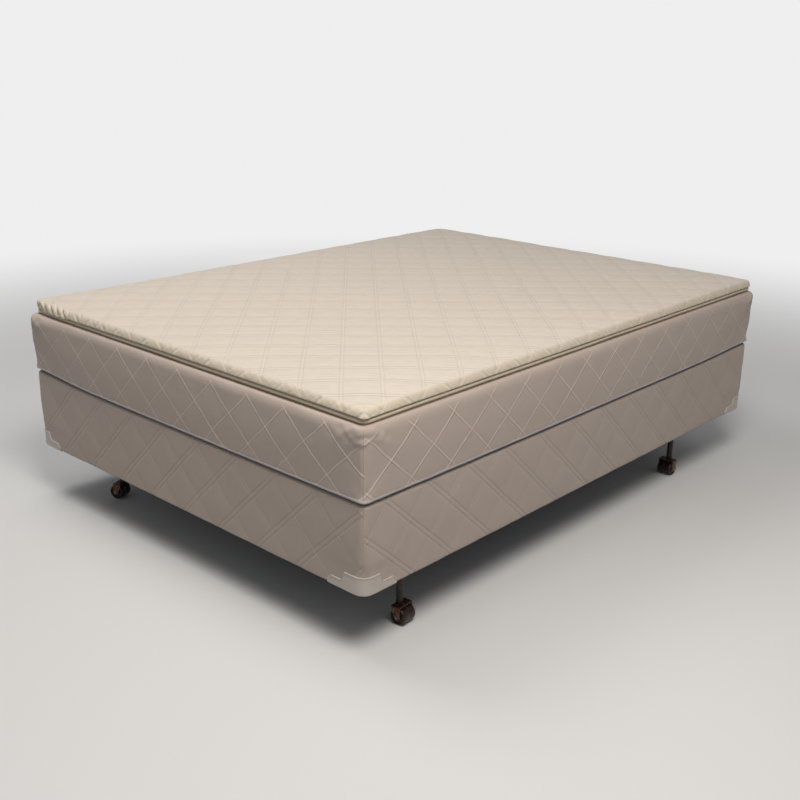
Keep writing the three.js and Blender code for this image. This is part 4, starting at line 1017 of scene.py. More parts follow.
def gathers(outline, height, rise):
    """Folds of the pillow's edge: narrow valleys between soft ridges, deep where it is bunched."""
    share = np.clip((height - pillow_low.z) / (PILLOW_EDGE - pillow_low.z), 0, 1)
    along = outline.place - FOLD_SLANT * (rise - 0.02)
    phase = (along - FOLD_PLACE) / FOLD_SPACING
    phase += FOLD_WANDER * waves(along, height * 0.4, 0.16, seed=22)
    valley = (0.5 + 0.5 * np.cos(2 * math.pi * phase)) ** 4
    depth = FOLD_DEPTH + FOLD_SPREAD * waves(along, height * 0, 0.09, seed=23)
    slight = (0.0002 + 0.0004 * (outline.side == 3)) * waves(along, (height - 0.66) * 0.4, 0.019, seed=24)
    return -(bunched(outline) * depth * (valley - FOLD_RIDGE) + slight) * smooth(share, -0.15, 0.3)


def pillow_surface(outline, rows, quilted, pushed=None):
    """The pillow's edge as rings of points, with each row's distance along the fabric."""
    inset, height, unfolded = pillow_edge(rows)
    insets, heights = outline.spread(inset), outline.spread(height)
    sharp = 1 + PILLOW_SHARPNESS * outline.turning ** 2 * (0.25 + 0.75 * outline.near(-1, -1, 0.1))
    sharp = sharp - PILLOW_BLUNTING * outline.near(-1, 1, 0.07)
    if quilted:
        x, y = unfolded_place(outline.side, outline.place, unfolded[:, None], outline)
        over = smooth(heights, pillow_low.z + 0.002, pillow_low.z + 0.012)
        top_share = smooth(heights, PILLOW_EDGE - 0.012, PILLOW_EDGE)
        pinch = EDGE_PINCH + (PINCH - EDGE_PINCH) * top_share
        relief = pinch * (swell(top_phases(x, y), TOP_REACH) - 1) * over
        fold = gathers(outline, heights, unfolded[0] - unfolded[:, None])
        fold *= 1 - smooth(unfolded, 0.016, 0.001)[:, None]
        insets = insets - relief * (1 - top_share) - fold
        heights = heights + relief * top_share + 0.8 * fold * top_share
        heights = heights + TOP_WAVE * waves(x, y, 0.3, seed=31) * smooth(heights, 0.66, 0.68)
    under = PILLOW_PULL * outline.near(-1, 1, 0.09) * (1 - smooth(heights, 0.656, 0.674))
    points = outline.points(CORNER_RADIUS - (CORNER_RADIUS - insets - under) * sharp, heights)
    part = np.clip((heights - pillow_low.z) / (PILLOW_EDGE - pillow_low.z), 0, 1)
    points[..., 2] -= pillow_droop(points[..., 0], points[..., 1]) * (0.12 + 0.88 * part)
    points[..., 2] -= PILLOW_LIP * bunched(outline) * (1 - smooth(part, 0.1, 0.5))
    if pushed is not None:
        points[..., :2] += outline.out * refine(pushed[0], rows)[..., None]
        points[..., 2] += refine(pushed[1], rows)
    return points, unfolded


def pillow_grid(outline, quilted, pushed=None):
    """The pillow's top inside the rectangle that its corners turn about."""
    x, y = np.meshgrid(outline.xs, outline.ys, indexing="ij")
    z = crown(from_edge(x, y)) - pillow_droop(x, y)
    if quilted:
        z += PINCH * (swell(top_phases(x, y), TOP_REACH) - 1) + TOP_WAVE * waves(x, y, 0.3, seed=31)
    if pushed is not None:
        z += spline_weights(coarse.xs, outline.xs) @ pushed[2] @ spline_weights(coarse.ys, outline.ys).T
    return np.stack([x, y, z], axis=-1)


def capped(outline, rings, unfolded, grid):
    """Rings that close over a grid: points, faces and the quilt's numbers at the faces' corners."""
    rows, base = len(rings), len(rings) * outline.count
    levels = np.append(unfolded, 0.0)

    def phases(side, place, row):
        return top_phases(*unfolded_place(side, place, levels[row], outline))

    index = np.append(np.arange(base), base + outline.grid_index)
    edge = index[ring_faces(rows + 1, outline.count)]
    kept = np.ones(edge.shape, bool)
    kept[:, 3] = edge[:, 2] != edge[:, 3]
    numbers = ring_values(outline, rows + 1, phases)[kept]
    quads = grid_faces(*grid.shape[:2])
    flat = grid.reshape(-1, 3)
    grid_numbers = np.stack(top_phases(flat[:, 0], flat[:, 1]), axis=-1)[quads]
    faces = [face if whole else face[:3] for face, whole in zip(edge.tolist(), kept[:, 3])]
    return (np.vstack([rings.reshape(-1, 3), flat]), faces + (quads + base).tolist(),
            np.vstack([numbers, grid_numbers.reshape(-1, 2)]))


def puffed_pillow():
    """How far a cloth trial puffs the pillow up between its lines: its edge out and up, its top up."""
    rings, unfolded = pillow_surface(coarse, PILLOW_TRIAL_ROWS, False)
    grid = pillow_grid(coarse, False)
    points, faces, _ = capped(coarse, rings, unfolded, grid)
    edge = top_phases(*unfolded_place(coarse.side, coarse.place, unfolded[:, None], coarse))
    top = top_phases(grid[..., 0], grid[..., 1])
    near = np.minimum(*[np.append(from_line(a), from_line(b)) for a, b in zip(edge, top)])
    held = 0.9 * bump(near, 0.011)
    held[:coarse.count] = 1
    shift = settle("pillow_trial", points, faces, held, PILLOW_PRESSURE) - points
    shift = np.clip(shift, -PILLOW_CAP, PILLOW_CAP)
    edge_count = rings.shape[0] * coarse.count
    ring = shift[:edge_count].reshape(rings.shape)
    outward = (ring[..., :2] * coarse.out).sum(axis=2)
    return outward, ring[..., 2], shift[edge_count:, 2].reshape(grid.shape[:2])


def build_pillow(pushed):
    """The quilted pillow top, closed below with its lining."""
    rings, unfolded = pillow_surface(fine, PILLOW_ROWS, True, pushed)
    under_inset = CORNER_RADIUS - np.linalg.norm(rings[0, :, :2] - fine.base, axis=1)
    under = fine.points((under_inset + 0.005)[None], pillow_low.z + 0.0006)
    points, faces, quilt = capped(fine, np.concatenate([under, rings]),
                                  np.append(unfolded[0] + 0.004, unfolded), pillow_grid(fine, True, pushed))
    points = shut(points, faces, fine.count, pillow_low.z + SEAT)
    pillow = new_mesh("pillow_top_knit", points, faces, quilt)
    dress(pillow, "pillow_top", "knit", finish_top, finish_lining,
          replaces=["pillow_top_cover", "pillow_top_fill"])
    set_faces(pillow.data, "material_index", last_faces(faces, fine.count))


# Foundation

FOUNDATION_EDGE = 0.010
FOUNDATION_FULLNESS = 0.0045
FOUNDATION_OVER = 0.0157
FOUNDATION_RELIEF = 0.0010
FOUNDATION_WAVE = 0.0011
FOUNDATION_SHARPNESS = 0.0052
SHARPNESS_RISE = (0.25, 0.37)
UNDER_GUARDS = (0.236, 0.275)
BESIDE_GUARDS = (0.13, 0.17)
FULL_CORNERS = ((-1, 1, 0.24, FOUNDATION_FULLNESS), (1, -1, 0.24, FOUNDATION_FULLNESS))
DUST_SLACK = 0.0006
DUST_PUCKERS = 0.0003
DUST_COLUMNS = 120
DUST_ROWS = 90
FACING_DOWN = [0, 3, 2, 1]


def foundation_rings(outline):
    """Rings of points up the foundation's walls and over its upper edge, and their quilt heights."""
    low, high = foundation_low.z, foundation_high.z
    height = np.linspace(low + 0.003, high - FOUNDATION_EDGE, WALL_ROWS)[:, None]
    phases = wall_phases(FOUNDATION_LINES, outline.side, outline.place, height)
    share = (height - low) / (high - low)
    hold = np.sin(np.clip(share, 0, 1) * math.pi) ** 0.5
    relief = FOUNDATION_RELIEF * swell(phases, WALL_REACH)
    relief += FOUNDATION_WAVE * (1 + waves(outline.place, height, 0.18, seed=41)) * hold
    sharp = FOUNDATION_SHARPNESS * outline.turning ** 2 * smooth(height, *SHARPNESS_RISE)
    guarded = 1 - smooth(height, *UNDER_GUARDS)
    gaps = [outline.from_corner(sx, sy, 0.5) for sx in (-1, 1) for sy in (-1, 1)]
    relief *= 1 - 0.9 * guarded * (1 - smooth(np.min(gaps, axis=0), *BESIDE_GUARDS))
    full = at_corners(outline, FULL_CORNERS) * (1 - smooth(share, 0.1, 0.9))
    insets = 0.0002 - relief - sharp - full + 0.0027 * outline.turning ** 1.5 * guarded
    puff = 0.75 * at_corners(outline, CASING_LIFTS)
    heights = height + puff * smooth(share, 0.75, 1.05)
    angle = QUARTER[1:, None]
    top_inset = insets[-1] + FOUNDATION_EDGE * (1 - np.cos(angle))
    top_height = high - FOUNDATION_EDGE + FOUNDATION_EDGE * np.sin(angle) + puff
    insets = np.vstack([insets[0] + 0.0025, insets[0] + 0.0008, insets, top_inset,
                        top_inset[-1] + 0.005, top_inset[-1] + 0.012])
    heights = np.vstack([outline.spread([low + 0.0001, low + 0.0008]), heights, top_height,
                         high + 0.8 * puff, high + 0 * puff])
    over = FOUNDATION_OVER * np.append(angle / (math.pi / 2), [1.3, 1.75])
    levels = np.concatenate([[low, low + 0.001], height[:, 0], high - FOUNDATION_EDGE + over])
    return outline.points(insets, heights), levels


def build_foundation():
    """The foundation's cover, whose hidden top is painted near-black as painted shade."""
    rings, levels = foundation_rings(fine)
    first = (len(rings) - 1) * fine.count
    cover, _, faces = quilted_wall("foundation_knit", rings, FOUNDATION_LINES, levels,
                                   foundation_high.z, first, True)
    set_faces(cover.data, "material_index", last_faces(faces, fine.count))
    dress(cover, "bed_base", "knit_side", finish_foundation, finish_painted_shade,
          replaces=["foundation_cover"])


def build_dust_cover():
    """The black cloth stapled under the foundation, a little slack between the boards."""
    low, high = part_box("dust_cover")
    x, y = np.meshgrid(np.linspace(low.x, high.x, DUST_COLUMNS + 1),
                       np.linspace(low.y, high.y, DUST_ROWS + 1), indexing="ij")
    edge = np.minimum(high.x - np.abs(x), high.y - np.abs(y))
    free = smooth(edge, 0.03, 0.2) * smooth(np.abs(y), 0.03, 0.15)
    z = low.z + SEAT + free * DUST_SLACK * (1 + waves(x, y, 0.25, seed=51))
    z += (1 - smooth(edge, 0.0, 0.09)) * DUST_PUCKERS * (1 + waves(x, y, 0.05, seed=52))
    points = held_in(np.stack([x, y, z], axis=-1).reshape(-1, 3), ((low.z, 0.0045), (high.z, 0.0045)))
    cloth = new_mesh("dust_cover_cloth", points, grid_faces(*x.shape)[:, FACING_DOWN].tolist())
    dress(cloth, "bed_base", "dust_cover", finish_dust, replaces=["dust_cover"])


# Corner guards

GUARD_SHIFTS = {"foot_right": -0.006, "foot_left": -0.011}
GUARDS_PROUD = {"foot_left": 0.0035, "head_right": 0.0030}
GUARD_REACH = 0.117
GUARD_TAB = 0.054
GUARD_STEP = 0.067
GUARD_TURN = 0.102
GUARD_END_HEIGHT = 0.012
GUARD_WING_HEIGHT = 0.025
GUARD_SKIN = 0.0028
GUARD_BACK = 0.0005
GUARD_RIM = 0.0011
GUARD_EDGE = 0.0045
GUARD_LIP = 0.016
GUARD_FLATTENING = 0.0022
GUARD_STEPS = 120
GUARD_FACE_ROWS = 10


def guard_top(near, tall):
    """The height of a guard's upper edge: a tab round the corner and a low wing on each side."""
    top = tall + (GUARD_WING_HEIGHT - tall) * smooth(near, GUARD_TAB, GUARD_STEP)
    end = GUARD_WING_HEIGHT + (GUARD_END_HEIGHT - GUARD_WING_HEIGHT) * smooth(near, GUARD_TURN, GUARD_REACH)
    return np.where(near > GUARD_TURN, end, top)


def build_guard(corner_name, sign_x, sign_y):
    """A moulded guard round a lower corner: a tab, two low wings, a lip below and raised rims.
    Two of them sit a little to one side, and two stand a little off the cover."""
    name = f"corner_guard_{corner_name}"
    low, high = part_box(name)
    own = np.linspace(-GUARD_REACH, GUARD_REACH, GUARD_STEPS + 1)
    s = own + GUARD_SHIFTS.get(corner_name, 0.0)
    arc, middle = CORNER_RADIUS * math.pi / 4, math.atan2(sign_y, sign_x)
    facing = middle + np.clip(s / arc, -1, 1) * math.pi / 4
    flat = middle + np.sign(s) * math.pi / 4
    along = np.stack([-np.sin(flat), np.cos(flat)], axis=1)
    corner = np.array([sign_x * (HALF_LENGTH - CORNER_RADIUS), sign_y * (HALF_WIDTH - CORNER_RADIUS)])
    base = corner + along * (np.sign(s) * np.maximum(np.abs(s) - arc, 0))[:, None]
    out = np.stack([np.cos(facing), np.sin(facing)], axis=1)
    top = foundation_low.z + guard_top(np.abs(own), high.z - foundation_low.z)
    rise = low.z + GUARD_EDGE
    profile = [(-GUARD_LIP, low.z + 0.0022), (-GUARD_LIP, low.z)]
    profile += [(GUARD_SKIN - GUARD_EDGE * (1 - math.sin(turn)), rise - GUARD_EDGE * math.cos(turn))
                for turn in QUARTER]
    profile += [(GUARD_SKIN, rise + row / GUARD_FACE_ROWS * (top - 0.0034 - rise))
                for row in range(1, GUARD_FACE_ROWS)]
    profile += [(GUARD_SKIN + GUARD_RIM * part, top - below) for part, below in
                ((0.3, 0.0034), (1.0, 0.0026), (1.0, 0.0010), (0.4, 0.0))]
    profile += [(GUARD_BACK + 0.0001, top), (GUARD_BACK, top - 0.004),
                (GUARD_BACK, foundation_low.z + 0.001), (-GUARD_LIP, low.z + 0.0024)]
    stand = CORNER_RADIUS + GUARDS_PROUD.get(corner_name, 0.0)
    stand = stand - GUARD_FLATTENING * (1 - smooth(np.abs(s), 0.0, 0.040))
    rows = [np.column_stack([base + out * (stand + away)[:, None], np.broadcast_to(z, s.shape)])
            for away, z in profile]
    count, total = len(s), len(rows)
    faces = [face for face in ring_faces(total, count, closed=True).tolist()
             if face[0] % count < GUARD_STEPS]
    faces.append([row * count for row in range(total)])
    faces.append([row * count + GUARD_STEPS for row in range(total)][::-1])
    guard = new_mesh(name.replace("corner_guard", "guard_shell"), np.stack(rows), faces)
    soften(guard, 0.0004, 35)
    dress(guard, "bed_base", "white_plastic", finish_guard, replaces=[name])


# Rigid pieces

GLAND_PLACE = (1.0161, 0.110, 0.4563)
GLAND_BORE = 0.0025
GLAND_BARREL = 0.0070
GLAND_FLANGE = 0.0120
GLAND_FACE = 0.0048
GLAND_FRONT = 0.0073
ROLLER_RADIUS = 0.025
ROLLER_HALF_WIDTH = 0.025
ROLLER_BORE = 0.0033


def soften(obj, width, angle):
    """Rounds a rigid piece's sharp edges and shades the rest smooth."""
    bevel = obj.modifiers.new("rounded_edges", "BEVEL")
    bevel.width = width
    bevel.segments = 2
    bevel.limit_method = "ANGLE"
    bevel.angle_limit = math.radians(angle)
    obj.modifiers.new("even_normals", "WEIGHTED_NORMAL").keep_sharp = True


def keep_nodes(material, width, *names):
    """CAD nodes that stay: flat faces joined, edges rounded, with a fine material."""
    for name in names:
        obj = nodes[name]
        obj.data.materials.clear()
        obj.data.materials.append(material)
        set_faces(obj.data, "use_smooth", np.ones(len(obj.data.polygons), bool))
        flat = obj.modifiers.new("flat_faces", "DECIMATE")
        flat.decimate_type = "DISSOLVE"
        flat.angle_limit = math.radians(1)
        soften(obj, width, 36)


def lathe(name, profile, sides, centre, axis, sharp_angle):
    """A turned solid from (radius, place along the axis) pairs, closed on itself."""
    turn = Vector((0, 0, 1)).rotation_difference(Vector(axis).normalized()).to_matrix()
    points = []
    for radius, along in profile:
        for angle in np.arange(sides) * 2 * math.pi / sides:
            local = Vector((radius * math.cos(angle), radius * math.sin(angle), along))
            points.append(tuple(Vector(centre) + turn @ local))
    obj = new_mesh(name, points, ring_faces(len(profile), sides, closed=True).tolist())
    rework(obj, lambda work: mark_sharp(work, math.radians(sharp_angle)))
    return obj


def mark_sharp(work, limit):
    """Marks the edges whose faces turn by more than a limit."""
    for edge in work.edges:
        edge.smooth = edge.calc_face_angle(0) <= limit


def build_gland():
    """The heater lead's gland: a round flanged bush with eased edges and a raised lip."""
    bore, barrel, flange = GLAND_BORE, GLAND_BARREL, GLAND_FLANGE
    face, front = GLAND_FACE, GLAND_FRONT
    profile = [(bore, 0.0), (barrel, 0.0), (barrel, face), (flange - 0.0003, face),
               (flange, face + 0.0003), (flange, face + 0.0010), (flange - 0.0004, face + 0.0015),
               (barrel, front - 0.0006), (barrel - 0.0006, front - 0.0006),
               (barrel - 0.0010, front - 0.0002), (barrel - 0.0015, front), (bore + 0.0008, front),
               (bore + 0.0002, front - 0.0002), (bore, front - 0.0008)]
    gland = lathe("gland_bush", profile, 64, GLAND_PLACE, (1, 0, 0), 40)
    dress(gland, "bed_base", "black_plastic", finish_black, replaces=["heater_gland"])


def build_roller(corner):
    """A wide moulded roller with eased edges, dished ends and a worn tread."""
    joint = joints[f"caster_roll_{corner}"]
    r, bore = ROLLER_RADIUS, ROLLER_BORE
    half = [(bore, 0.0025), (0.008, 0.0025), (0.0085, 0.0012), (0.0115, 0.0012), (0.012, 0.003),
            (0.0185, 0.003), (0.0195, 0.0006), (0.0215, 0.0), (0.0232, 0.0006), (0.0243, 0.0020),
            (0.0248, 0.0042), (r, 0.008), (r, ROLLER_HALF_WIDTH - 0.0006)]
    half = [(radius, ROLLER_HALF_WIDTH - depth) for radius, depth in half]
    tread = half + [(r - 0.0003, 0.0)] + [(radius, -along) for radius, along in half[::-1]]
    roller = lathe(f"roller_tread_{corner}", tread[::-1], 72, joint["pos_m"], joint["axis"], 40)
    dress(roller, f"roller_{corner}", "roller", finish_roller, replaces=[f"caster_roller_{corner}"])


# Foam, liner, bladder and what it holds

FOAM_LIMITS = ((0.435, 0.036), (0.462, 0.002), (0.600, -0.001), (0.624, 0.006), (0.633, 0.0185))
HEATER_CELL = 0.0025
VINYL_CELL = 0.012
VINYL_TURN = 0.014
SEAM_INSETS = (0.0155, 0.017, 0.021, 0.0225)
SEAM_HEIGHT = 0.0006
WELL_RIM = 0.054
WELL_RADIUS = 0.0313
WELL_DEPTH = 0.014
WELL_X = (cap_low.x + cap_high.x) / 2
NECK_RADIUS = 0.013
NECK_BORE = 0.010
NECK_HEIGHT = 0.009
LINER_ROWS = 14
LINER_EDGE_WAVE = 0.0014
LINER_WAVE = 0.0005
LINER_CORNER = 0.012
LONG_SWELL = 0.0034
SHORT_SWELL = 0.0007
CORNER_CREASE = 0.0030
CREASE_PLACE = 0.17
SIDE_SWELL = 0.0008
SINK_RISE = (0.60, 0.642)


def held_in(place, limits):
    """Points pulled inside the bed's outline, by an inset that goes with their height."""
    reach = CORNER_RADIUS - np.interp(place[:, 2], *zip(*limits))
    outer, inner = np.maximum(reach, 0), np.where(reach < 0, reach, CORNER_RADIUS)
    straight = np.array([HALF_LENGTH - CORNER_RADIUS, HALF_WIDTH - CORNER_RADIUS])
    size = np.abs(place[:, :2])
    beyond = np.maximum(size - straight, 0)
    distance = np.hypot(*beyond.T)
    share = np.where(distance > outer, outer / np.maximum(distance, 1e-9), 1)
    held = np.where(size > straight, straight + beyond * share[:, None], size)
    held = np.minimum(held, straight + inner[:, None])
    return np.column_stack([np.sign(place[:, :2]) * held, place[:, 2]])


def build_soft(node, name, slot, finish, cell, smoothing, relief, wavelength, seed):
    """A soft solid's finer form: its CAD solid remeshed, eased and given an uneven surface."""
    obj = bpy.data.objects.new(name, nodes[node].data.copy())
    bpy.context.scene.collection.objects.link(obj)
    remesh = obj.modifiers.new("remesh", "REMESH")
    remesh.mode = "VOXEL"
    remesh.voxel_size = cell
    ease = obj.modifiers.new("ease", "SMOOTH")
    ease.factor = 0.5
    ease.iterations = smoothing
    evaluated = obj.evaluated_get(bpy.context.evaluated_depsgraph_get())
    mesh = bpy.data.meshes.new_from_object(evaluated)
    obj.modifiers.clear()
    obj.data = mesh
    mesh.name = name
    mesh.materials.clear()
    place, normal = np.empty((2, len(mesh.vertices), 3))
    mesh.vertices.foreach_get("co", place.ravel())
    mesh.vertices.foreach_get("normal", normal.ravel())
    ripple = waves(place[:, 0] + 0.7 * place[:, 2], place[:, 1] - 0.6 * place[:, 2], wavelength, seed)
    moved = place + normal * (relief * (ripple - 1))[:, None]
    low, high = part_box(node)
    moved = held_in(np.clip(moved, np.array(low), np.array(high)), FOAM_LIMITS)
    if node == "water_fill":
        moved = sunk(moved)
    mesh.vertices.foreach_set("co", moved.ravel())
    set_faces(mesh, "use_smooth", np.ones(len(mesh.polygons), bool))
    mesh.update()
    dress(obj, "bed_base", slot, finish, replaces=[node])


def build_inside():
    """What shows when the pillow top is lifted: foam walls, liner and bladder, and what they hold."""
    for wall in ("right", "left", "foot", "head"):
        build_soft(f"foam_wall_{wall}", f"foam_block_{wall}", "foam", finish_foam,
                   0.008, 3, 0.0006, 0.12, 61)
    build_soft("base_foam", "foam_base_slab", "foam", finish_foam, 0.010, 2, 0.0005, 0.2, 62)
    build_soft("fibre_baffle", "fibre_batt", "fibre", finish_fibre, 0.016, 3, 0.0015, 0.15, 63)
    build_soft("water_fill", "water_body", "water", finish_water, 0.018, 3, 0.0005, 0.4, 64)
    build_liner()
    build_bladder()
    build_filler_well()
    build_soft("heater_pad", "heater_mat", "heater", finish_heater, HEATER_CELL, 1, 0.0, 1.0, 65)


def water_sink(x, y):
    """How far the bladder's top sinks between its long low swells and its creased corners."""
    from_x, from_y = bladder_high.x - np.abs(x), bladder_high.y - np.abs(y)
    total = LONG_SWELL * (1 + waves(x, y, 0.46, seed=71))
    total += SHORT_SWELL * (1 + waves(x, y, 0.12, seed=72))
    turned = np.arctan2(from_y, from_x) + 0.12 * waves(x, y, 0.2, seed=73)
    crease = (0.5 + 0.5 * np.cos(16 * turned)) ** 2
    total += CORNER_CREASE * crease * bump(np.hypot(from_x, from_y) - CREASE_PLACE, 0.10)
    edge = smooth(np.minimum(from_x, from_y), 0.012, 0.12)
    return total * smooth(np.hypot(x - WELL_X, y), WELL_RIM, 0.12) * (0.2 + 0.8 * edge)


def sunk(points):
    """Points of the bladder or its water, let down with the bladder's top."""
    drop = water_sink(points[..., 0], points[..., 1]) * smooth(points[..., 2], *SINK_RISE)
    return points - np.stack([0 * drop, 0 * drop, drop], axis=-1)


def build_liner():
    """The safety liner: a film that lies on the base foam and stands up round the foam walls."""
    low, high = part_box("safety_liner")
    tray = box_outline(high.x, high.y, COARSE_CELL)
    share = np.linspace(0, 1, LINER_ROWS)[:, None]
    edge = LINER_EDGE_WAVE * (waves(tray.place, 0 * share, 0.13, seed=74) - 1) * share ** 4
    floor = low.z + SEAT
    height = floor + share * (high.z - floor) + edge
    inset = 0.0006 + LINER_WAVE * (1 + waves(tray.place, height, 0.09, seed=75))
    inset += LINER_CORNER * (1 - share) ** 24
    faces = ring_faces(LINER_ROWS, tray.count)[:, ::-1].tolist()
    points = shut(tray.points(inset, height).reshape(-1, 3), faces, tray.count, floor, up=True)
    liner = new_mesh("safety_liner_vinyl", points, faces)
    dress(liner, "bed_base", "liner", finish_liner, replaces=["safety_liner"])


def build_bladder():
    """The bladder: rounded edges, a welded seam round its top, and low swells round its filler well."""
    low, high = bladder_low, bladder_high
    skin = box_outline(high.x, high.y, VINYL_CELL)
    turned, risen = VINYL_TURN * (1 - np.cos(QUARTER)), VINYL_TURN * np.sin(QUARTER)
    wall = np.linspace(low.z + VINYL_TURN, high.z - VINYL_TURN, 12)[1:-1]
    inset = np.concatenate([turned[::-1], 0 * wall, turned, SEAM_INSETS])
    height = np.concatenate([low.z + VINYL_TURN - risen[::-1], wall, high.z - VINYL_TURN + risen,
                             high.z + SEAM_HEIGHT * np.array([0, 1, 1, 0])])
    insets, heights = skin.spread(inset), skin.spread(height)
    side = smooth(heights, low.z, low.z + 0.04) * (1 - smooth(heights, 0.60, high.z))
    insets += SIDE_SWELL * side * (1 + waves(skin.place, heights, 0.1, seed=76))
    x, y = np.meshgrid(skin.xs, skin.ys, indexing="ij")
    grid = sunk(np.stack([x, y, np.full(x.shape, high.z)], axis=-1))
    points, faces, _ = capped(skin, sunk(skin.points(insets, heights)), 0 * height, grid)
    centres = np.array([points[face].mean(axis=0) for face in faces])
    at_well = np.hypot(centres[:, 0] - WELL_X, centres[:, 1]) < WELL_RADIUS + 0.0095
    hidden = at_well & (centres[:, 2] > low.z + WELL_DEPTH)
    faces = [face for face, gone in zip(faces, hidden) if not gone]
    points = shut(points, faces, skin.count, low.z)
    bladder = new_mesh("bladder_skin", points, faces)
    rework(bladder, drop_loose)
    dress(bladder, "bed_base", "vinyl", finish_bladder, replaces=["bladder"])


def drop_loose(work):
    """Takes out points that no face uses."""
    loose = [vertex for vertex in work.verts if not vertex.link_faces]
    bmesh.ops.delete(work, geom=loose, context="VERTS")


def build_filler_well():
    """The filler's patch, its sunk well and the neck that the cap turns on."""
    top, floor = bladder_high.z, bladder_high.z - WELL_DEPTH
    neck = floor + NECK_HEIGHT
    rim, well, outer, bore = WELL_RIM, WELL_RADIUS, NECK_RADIUS, NECK_BORE
    profile = [(rim, top - 0.0005), (rim - 0.0004, top + 0.0004), (rim - 0.002, top + 0.0008),
               (rim - 0.006, top + 0.0008), (rim - 0.0066, top + 0.0005), (well + 0.006, top + 0.0005),
               (well + 0.005, top + 0.0009), (well + 0.0015, top + 0.0009),
               (well + 0.0003, top + 0.0002), (well, top - 0.002), (well, floor + 0.003),
               (well - 0.0009, floor + 0.0009), (well - 0.003, floor), (outer + 0.002, floor),
               (outer + 0.0005, floor + 0.0003), (outer, floor + 0.002), (outer, neck - 0.0008),
               (outer - 0.0006, neck), (bore + 0.0006, neck), (bore, neck - 0.0008),
               (bore, floor - 0.002), (well + 0.001, floor - 0.002), (well + 0.002, top - 0.003),
               (rim - 0.002, top - 0.0015)]
    valve = lathe("filler_well", profile, 64, (WELL_X, 0, 0), (0, 0, 1), 50)
    dress(valve, "bed_base", "vinyl", finish_bladder)


# Scene

FLOOR_SHADE = (0.84, 0.84, 0.84)
BACKDROP_SHADE = (0.86, 0.86, 0.86)
FADE_FROM = 1.6
FADE_TO = 5.0
FILL_COLOUR = (0.97, 0.98, 1.0, 1)
FILL_STRENGTH = 0.225
LAMPS = (
    ("key", (-1.5, -1.95, 3.3), (-0.4, -0.3, 0.5), 1.4, 70, (1.0, 0.95, 0.88)),
    ("top", (-0.95, 1.15, 3.3), (-0.35, 0.35, 0.6), 1.6, 31, (1.0, 0.98, 0.95)),
    ("back", (2.8, 2.7, 1.1), (0.4, 0.3, 0.4), 2.0, 9, (1.0, 0.98, 0.96)),
)


def build_floor():
    """A pale floor that fades into a plain white world."""
    bpy.ops.mesh.primitive_plane_add(size=80)
    floor = bpy.context.object
    floor.name = "floor"
    g = Graph("floor", FLOOR_SHADE, 0.9, specular=0.1)
    path = g.node("LightPath").outputs
    seen = g.math("MAXIMUM", path["Is Camera Ray"], path["Is Glossy Ray"])
    seen = g.math("MAXIMUM", seen, path["Is Transmission Ray"])
    g.set_shader("Base Color", g.mix(seen, tone(FLOOR_SHADE, 0.5), FLOOR_SHADE))
    length = g.node("VectorMath", Vector=g.place())
    length.operation = "LENGTH"
    far = g.fade(length.outputs["Value"], FADE_TO, FADE_FROM)
    glow = g.node("Emission", Color=BACKDROP_SHADE)
    join_shaders(g, g.times(far, seen), g.shader, glow, "OUTPUT_MATERIAL")
    floor.data.materials.append(g.material)


def join_shaders(tree, factor, first, second, output_kind):
    """Mixes two shaders into a node tree's output."""
    blend = tree.nodes.new("ShaderNodeMixShader")
    output = next(n for n in tree.nodes if n.type == output_kind)
    for source, socket in ((factor, blend.inputs[0]), (first.outputs[0], blend.inputs[1]),
                           (second.outputs[0], blend.inputs[2]),
                           (blend.outputs[0], output.inputs["Surface"])):
        tree.links.new(source, socket)


def build_world():
    """Weak even fill light, with a plain backdrop for the camera and for clear pieces."""
    world = bpy.data.worlds.new("studio")
    bpy.context.scene.world = world
    world.use_nodes = True
    tree = world.node_tree
    fill = tree.nodes["Background"]
    plain = tree.nodes.new("ShaderNodeBackground")
    path = tree.nodes.new("ShaderNodeLightPath")
    either = tree.nodes.new("ShaderNodeMath")
    fill.inputs["Color"].default_value = FILL_COLOUR
    fill.inputs["Strength"].default_value = FILL_STRENGTH
    plain.inputs["Color"].default_value = (*BACKDROP_SHADE, 1)
    either.operation = "MAXIMUM"
    for socket, ray in zip(either.inputs, ("Is Camera Ray", "Is Transmission Ray")):
        tree.links.new(path.outputs[ray], socket)
    join_shaders(tree, either.outputs[0], fill, plain, "OUTPUT_WORLD")


def turn_to(obj, target):
    obj.rotation_mode = "QUATERNION"
    obj.rotation_quaternion = (Vector(target) - obj.location).to_track_quat("-Z", "Y")


def build_lamps():
    for name, place, target, size, power, colour in LAMPS:
        data = bpy.data.lights.new(name, "AREA")
        data.shape = "RECTANGLE"
        data.size = data.size_y = size
        data.energy = power
        data.color = colour
        lamp = bpy.data.objects.new(name, data)
        lamp.location = place
        turn_to(lamp, target)
        lamp.visible_camera = False
        bpy.context.scene.collection.objects.link(lamp)


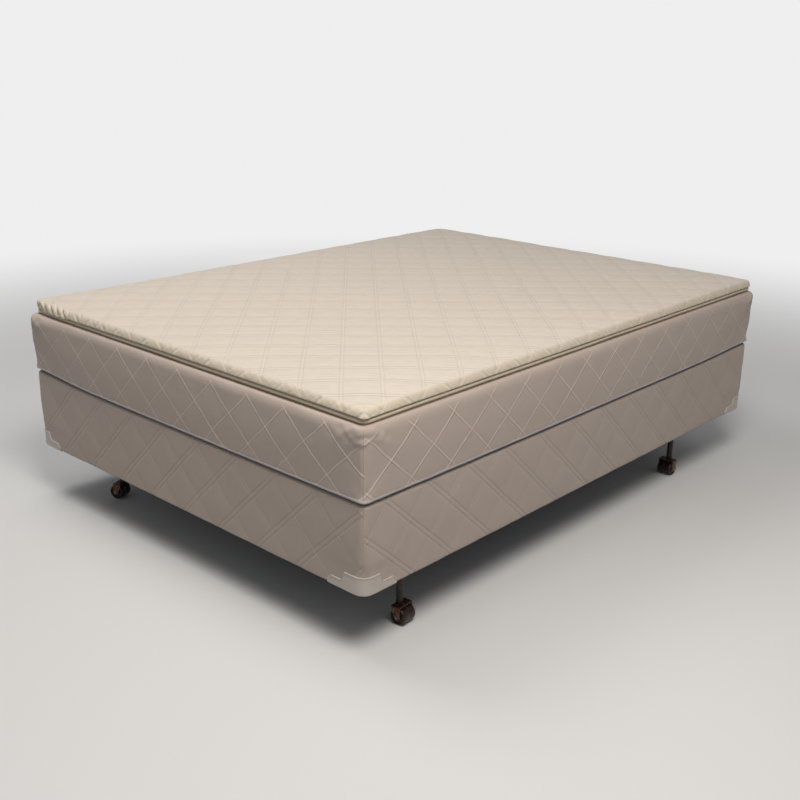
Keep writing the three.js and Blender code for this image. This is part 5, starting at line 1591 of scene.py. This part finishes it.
def build_camera():
    """A camera at the photograph's place, turned and rolled as it was."""
    flat = math.cos(CAMERA_ELEVATION)
    look = Vector((-math.sin(CAMERA_AZIMUTH) * flat, math.cos(CAMERA_AZIMUTH) * flat,
                   -math.sin(CAMERA_ELEVATION)))
    level = look.cross(Vector((0, 0, 1))).normalized()
    upright = level.cross(look)
    right = level * math.cos(CAMERA_ROLL) + upright * math.sin(CAMERA_ROLL)
    up = -level * math.sin(CAMERA_ROLL) + upright * math.cos(CAMERA_ROLL)
    data = bpy.data.cameras.new("camera")
    data.sensor_width = SENSOR_WIDTH
    data.lens = FOCAL_PIXELS * SENSOR_WIDTH / IMAGE_SIZE
    data.clip_end = 100
    camera = bpy.data.objects.new("camera", data)
    turn = Matrix((right, up, -look)).transposed().to_4x4()
    camera.matrix_world = Matrix.Translation(CAMERA_PLACE) @ turn
    bpy.context.scene.collection.objects.link(camera)
    bpy.context.scene.camera = camera


build_camera()
build_floor()
build_world()
build_lamps()

casing_push = puffed_casing()
build_casing(casing_push)
build_edge_tape(casing_push)
build_zipper_band()
build_zipper_teeth()
build_pillow(puffed_pillow())
build_foundation()
build_dust_cover()
for end, sign_x in (("foot", -1), ("head", 1)):
    for side, sign_y in (("right", -1), ("left", 1)):
        corner = f"{end}_{side}"
        build_guard(corner, sign_x, sign_y)
        build_roller(corner)
        keep_nodes(finish_yoke, 0.0005, f"caster_yoke_{corner}")
        keep_nodes(finish_axle, 0.0004, f"caster_axle_{corner}")
        keep_nodes(finish_black, 0.0003, f"caster_socket_{corner}")
        keep_nodes(finish_frame, 0.0006, f"leg_{corner}")
build_inside()
build_gland()
keep_nodes(finish_frame, 0.0006, "side_rail_right", "side_rail_left", "cross_rail_foot",
           "cross_rail_middle", "cross_rail_head", "centre_leg")
keep_nodes(finish_pine_x, 0.001, "side_board_right", "side_board_left", "centre_beam")
keep_nodes(finish_pine_y, 0.001, "end_board_foot", "end_board_head")
keep_nodes(finish_plywood, 0.001, "deck_panel")
keep_nodes(finish_black, 0.0006, "centre_glide")
keep_nodes(finish_slider, 0.0004, "zipper_slider")
keep_nodes(finish_slider, 0.0003, "zipper_pull")
keep_nodes(finish_bladder, 0.0004, "fill_cap")

bpy.context.scene.view_settings.view_transform = "Standard"
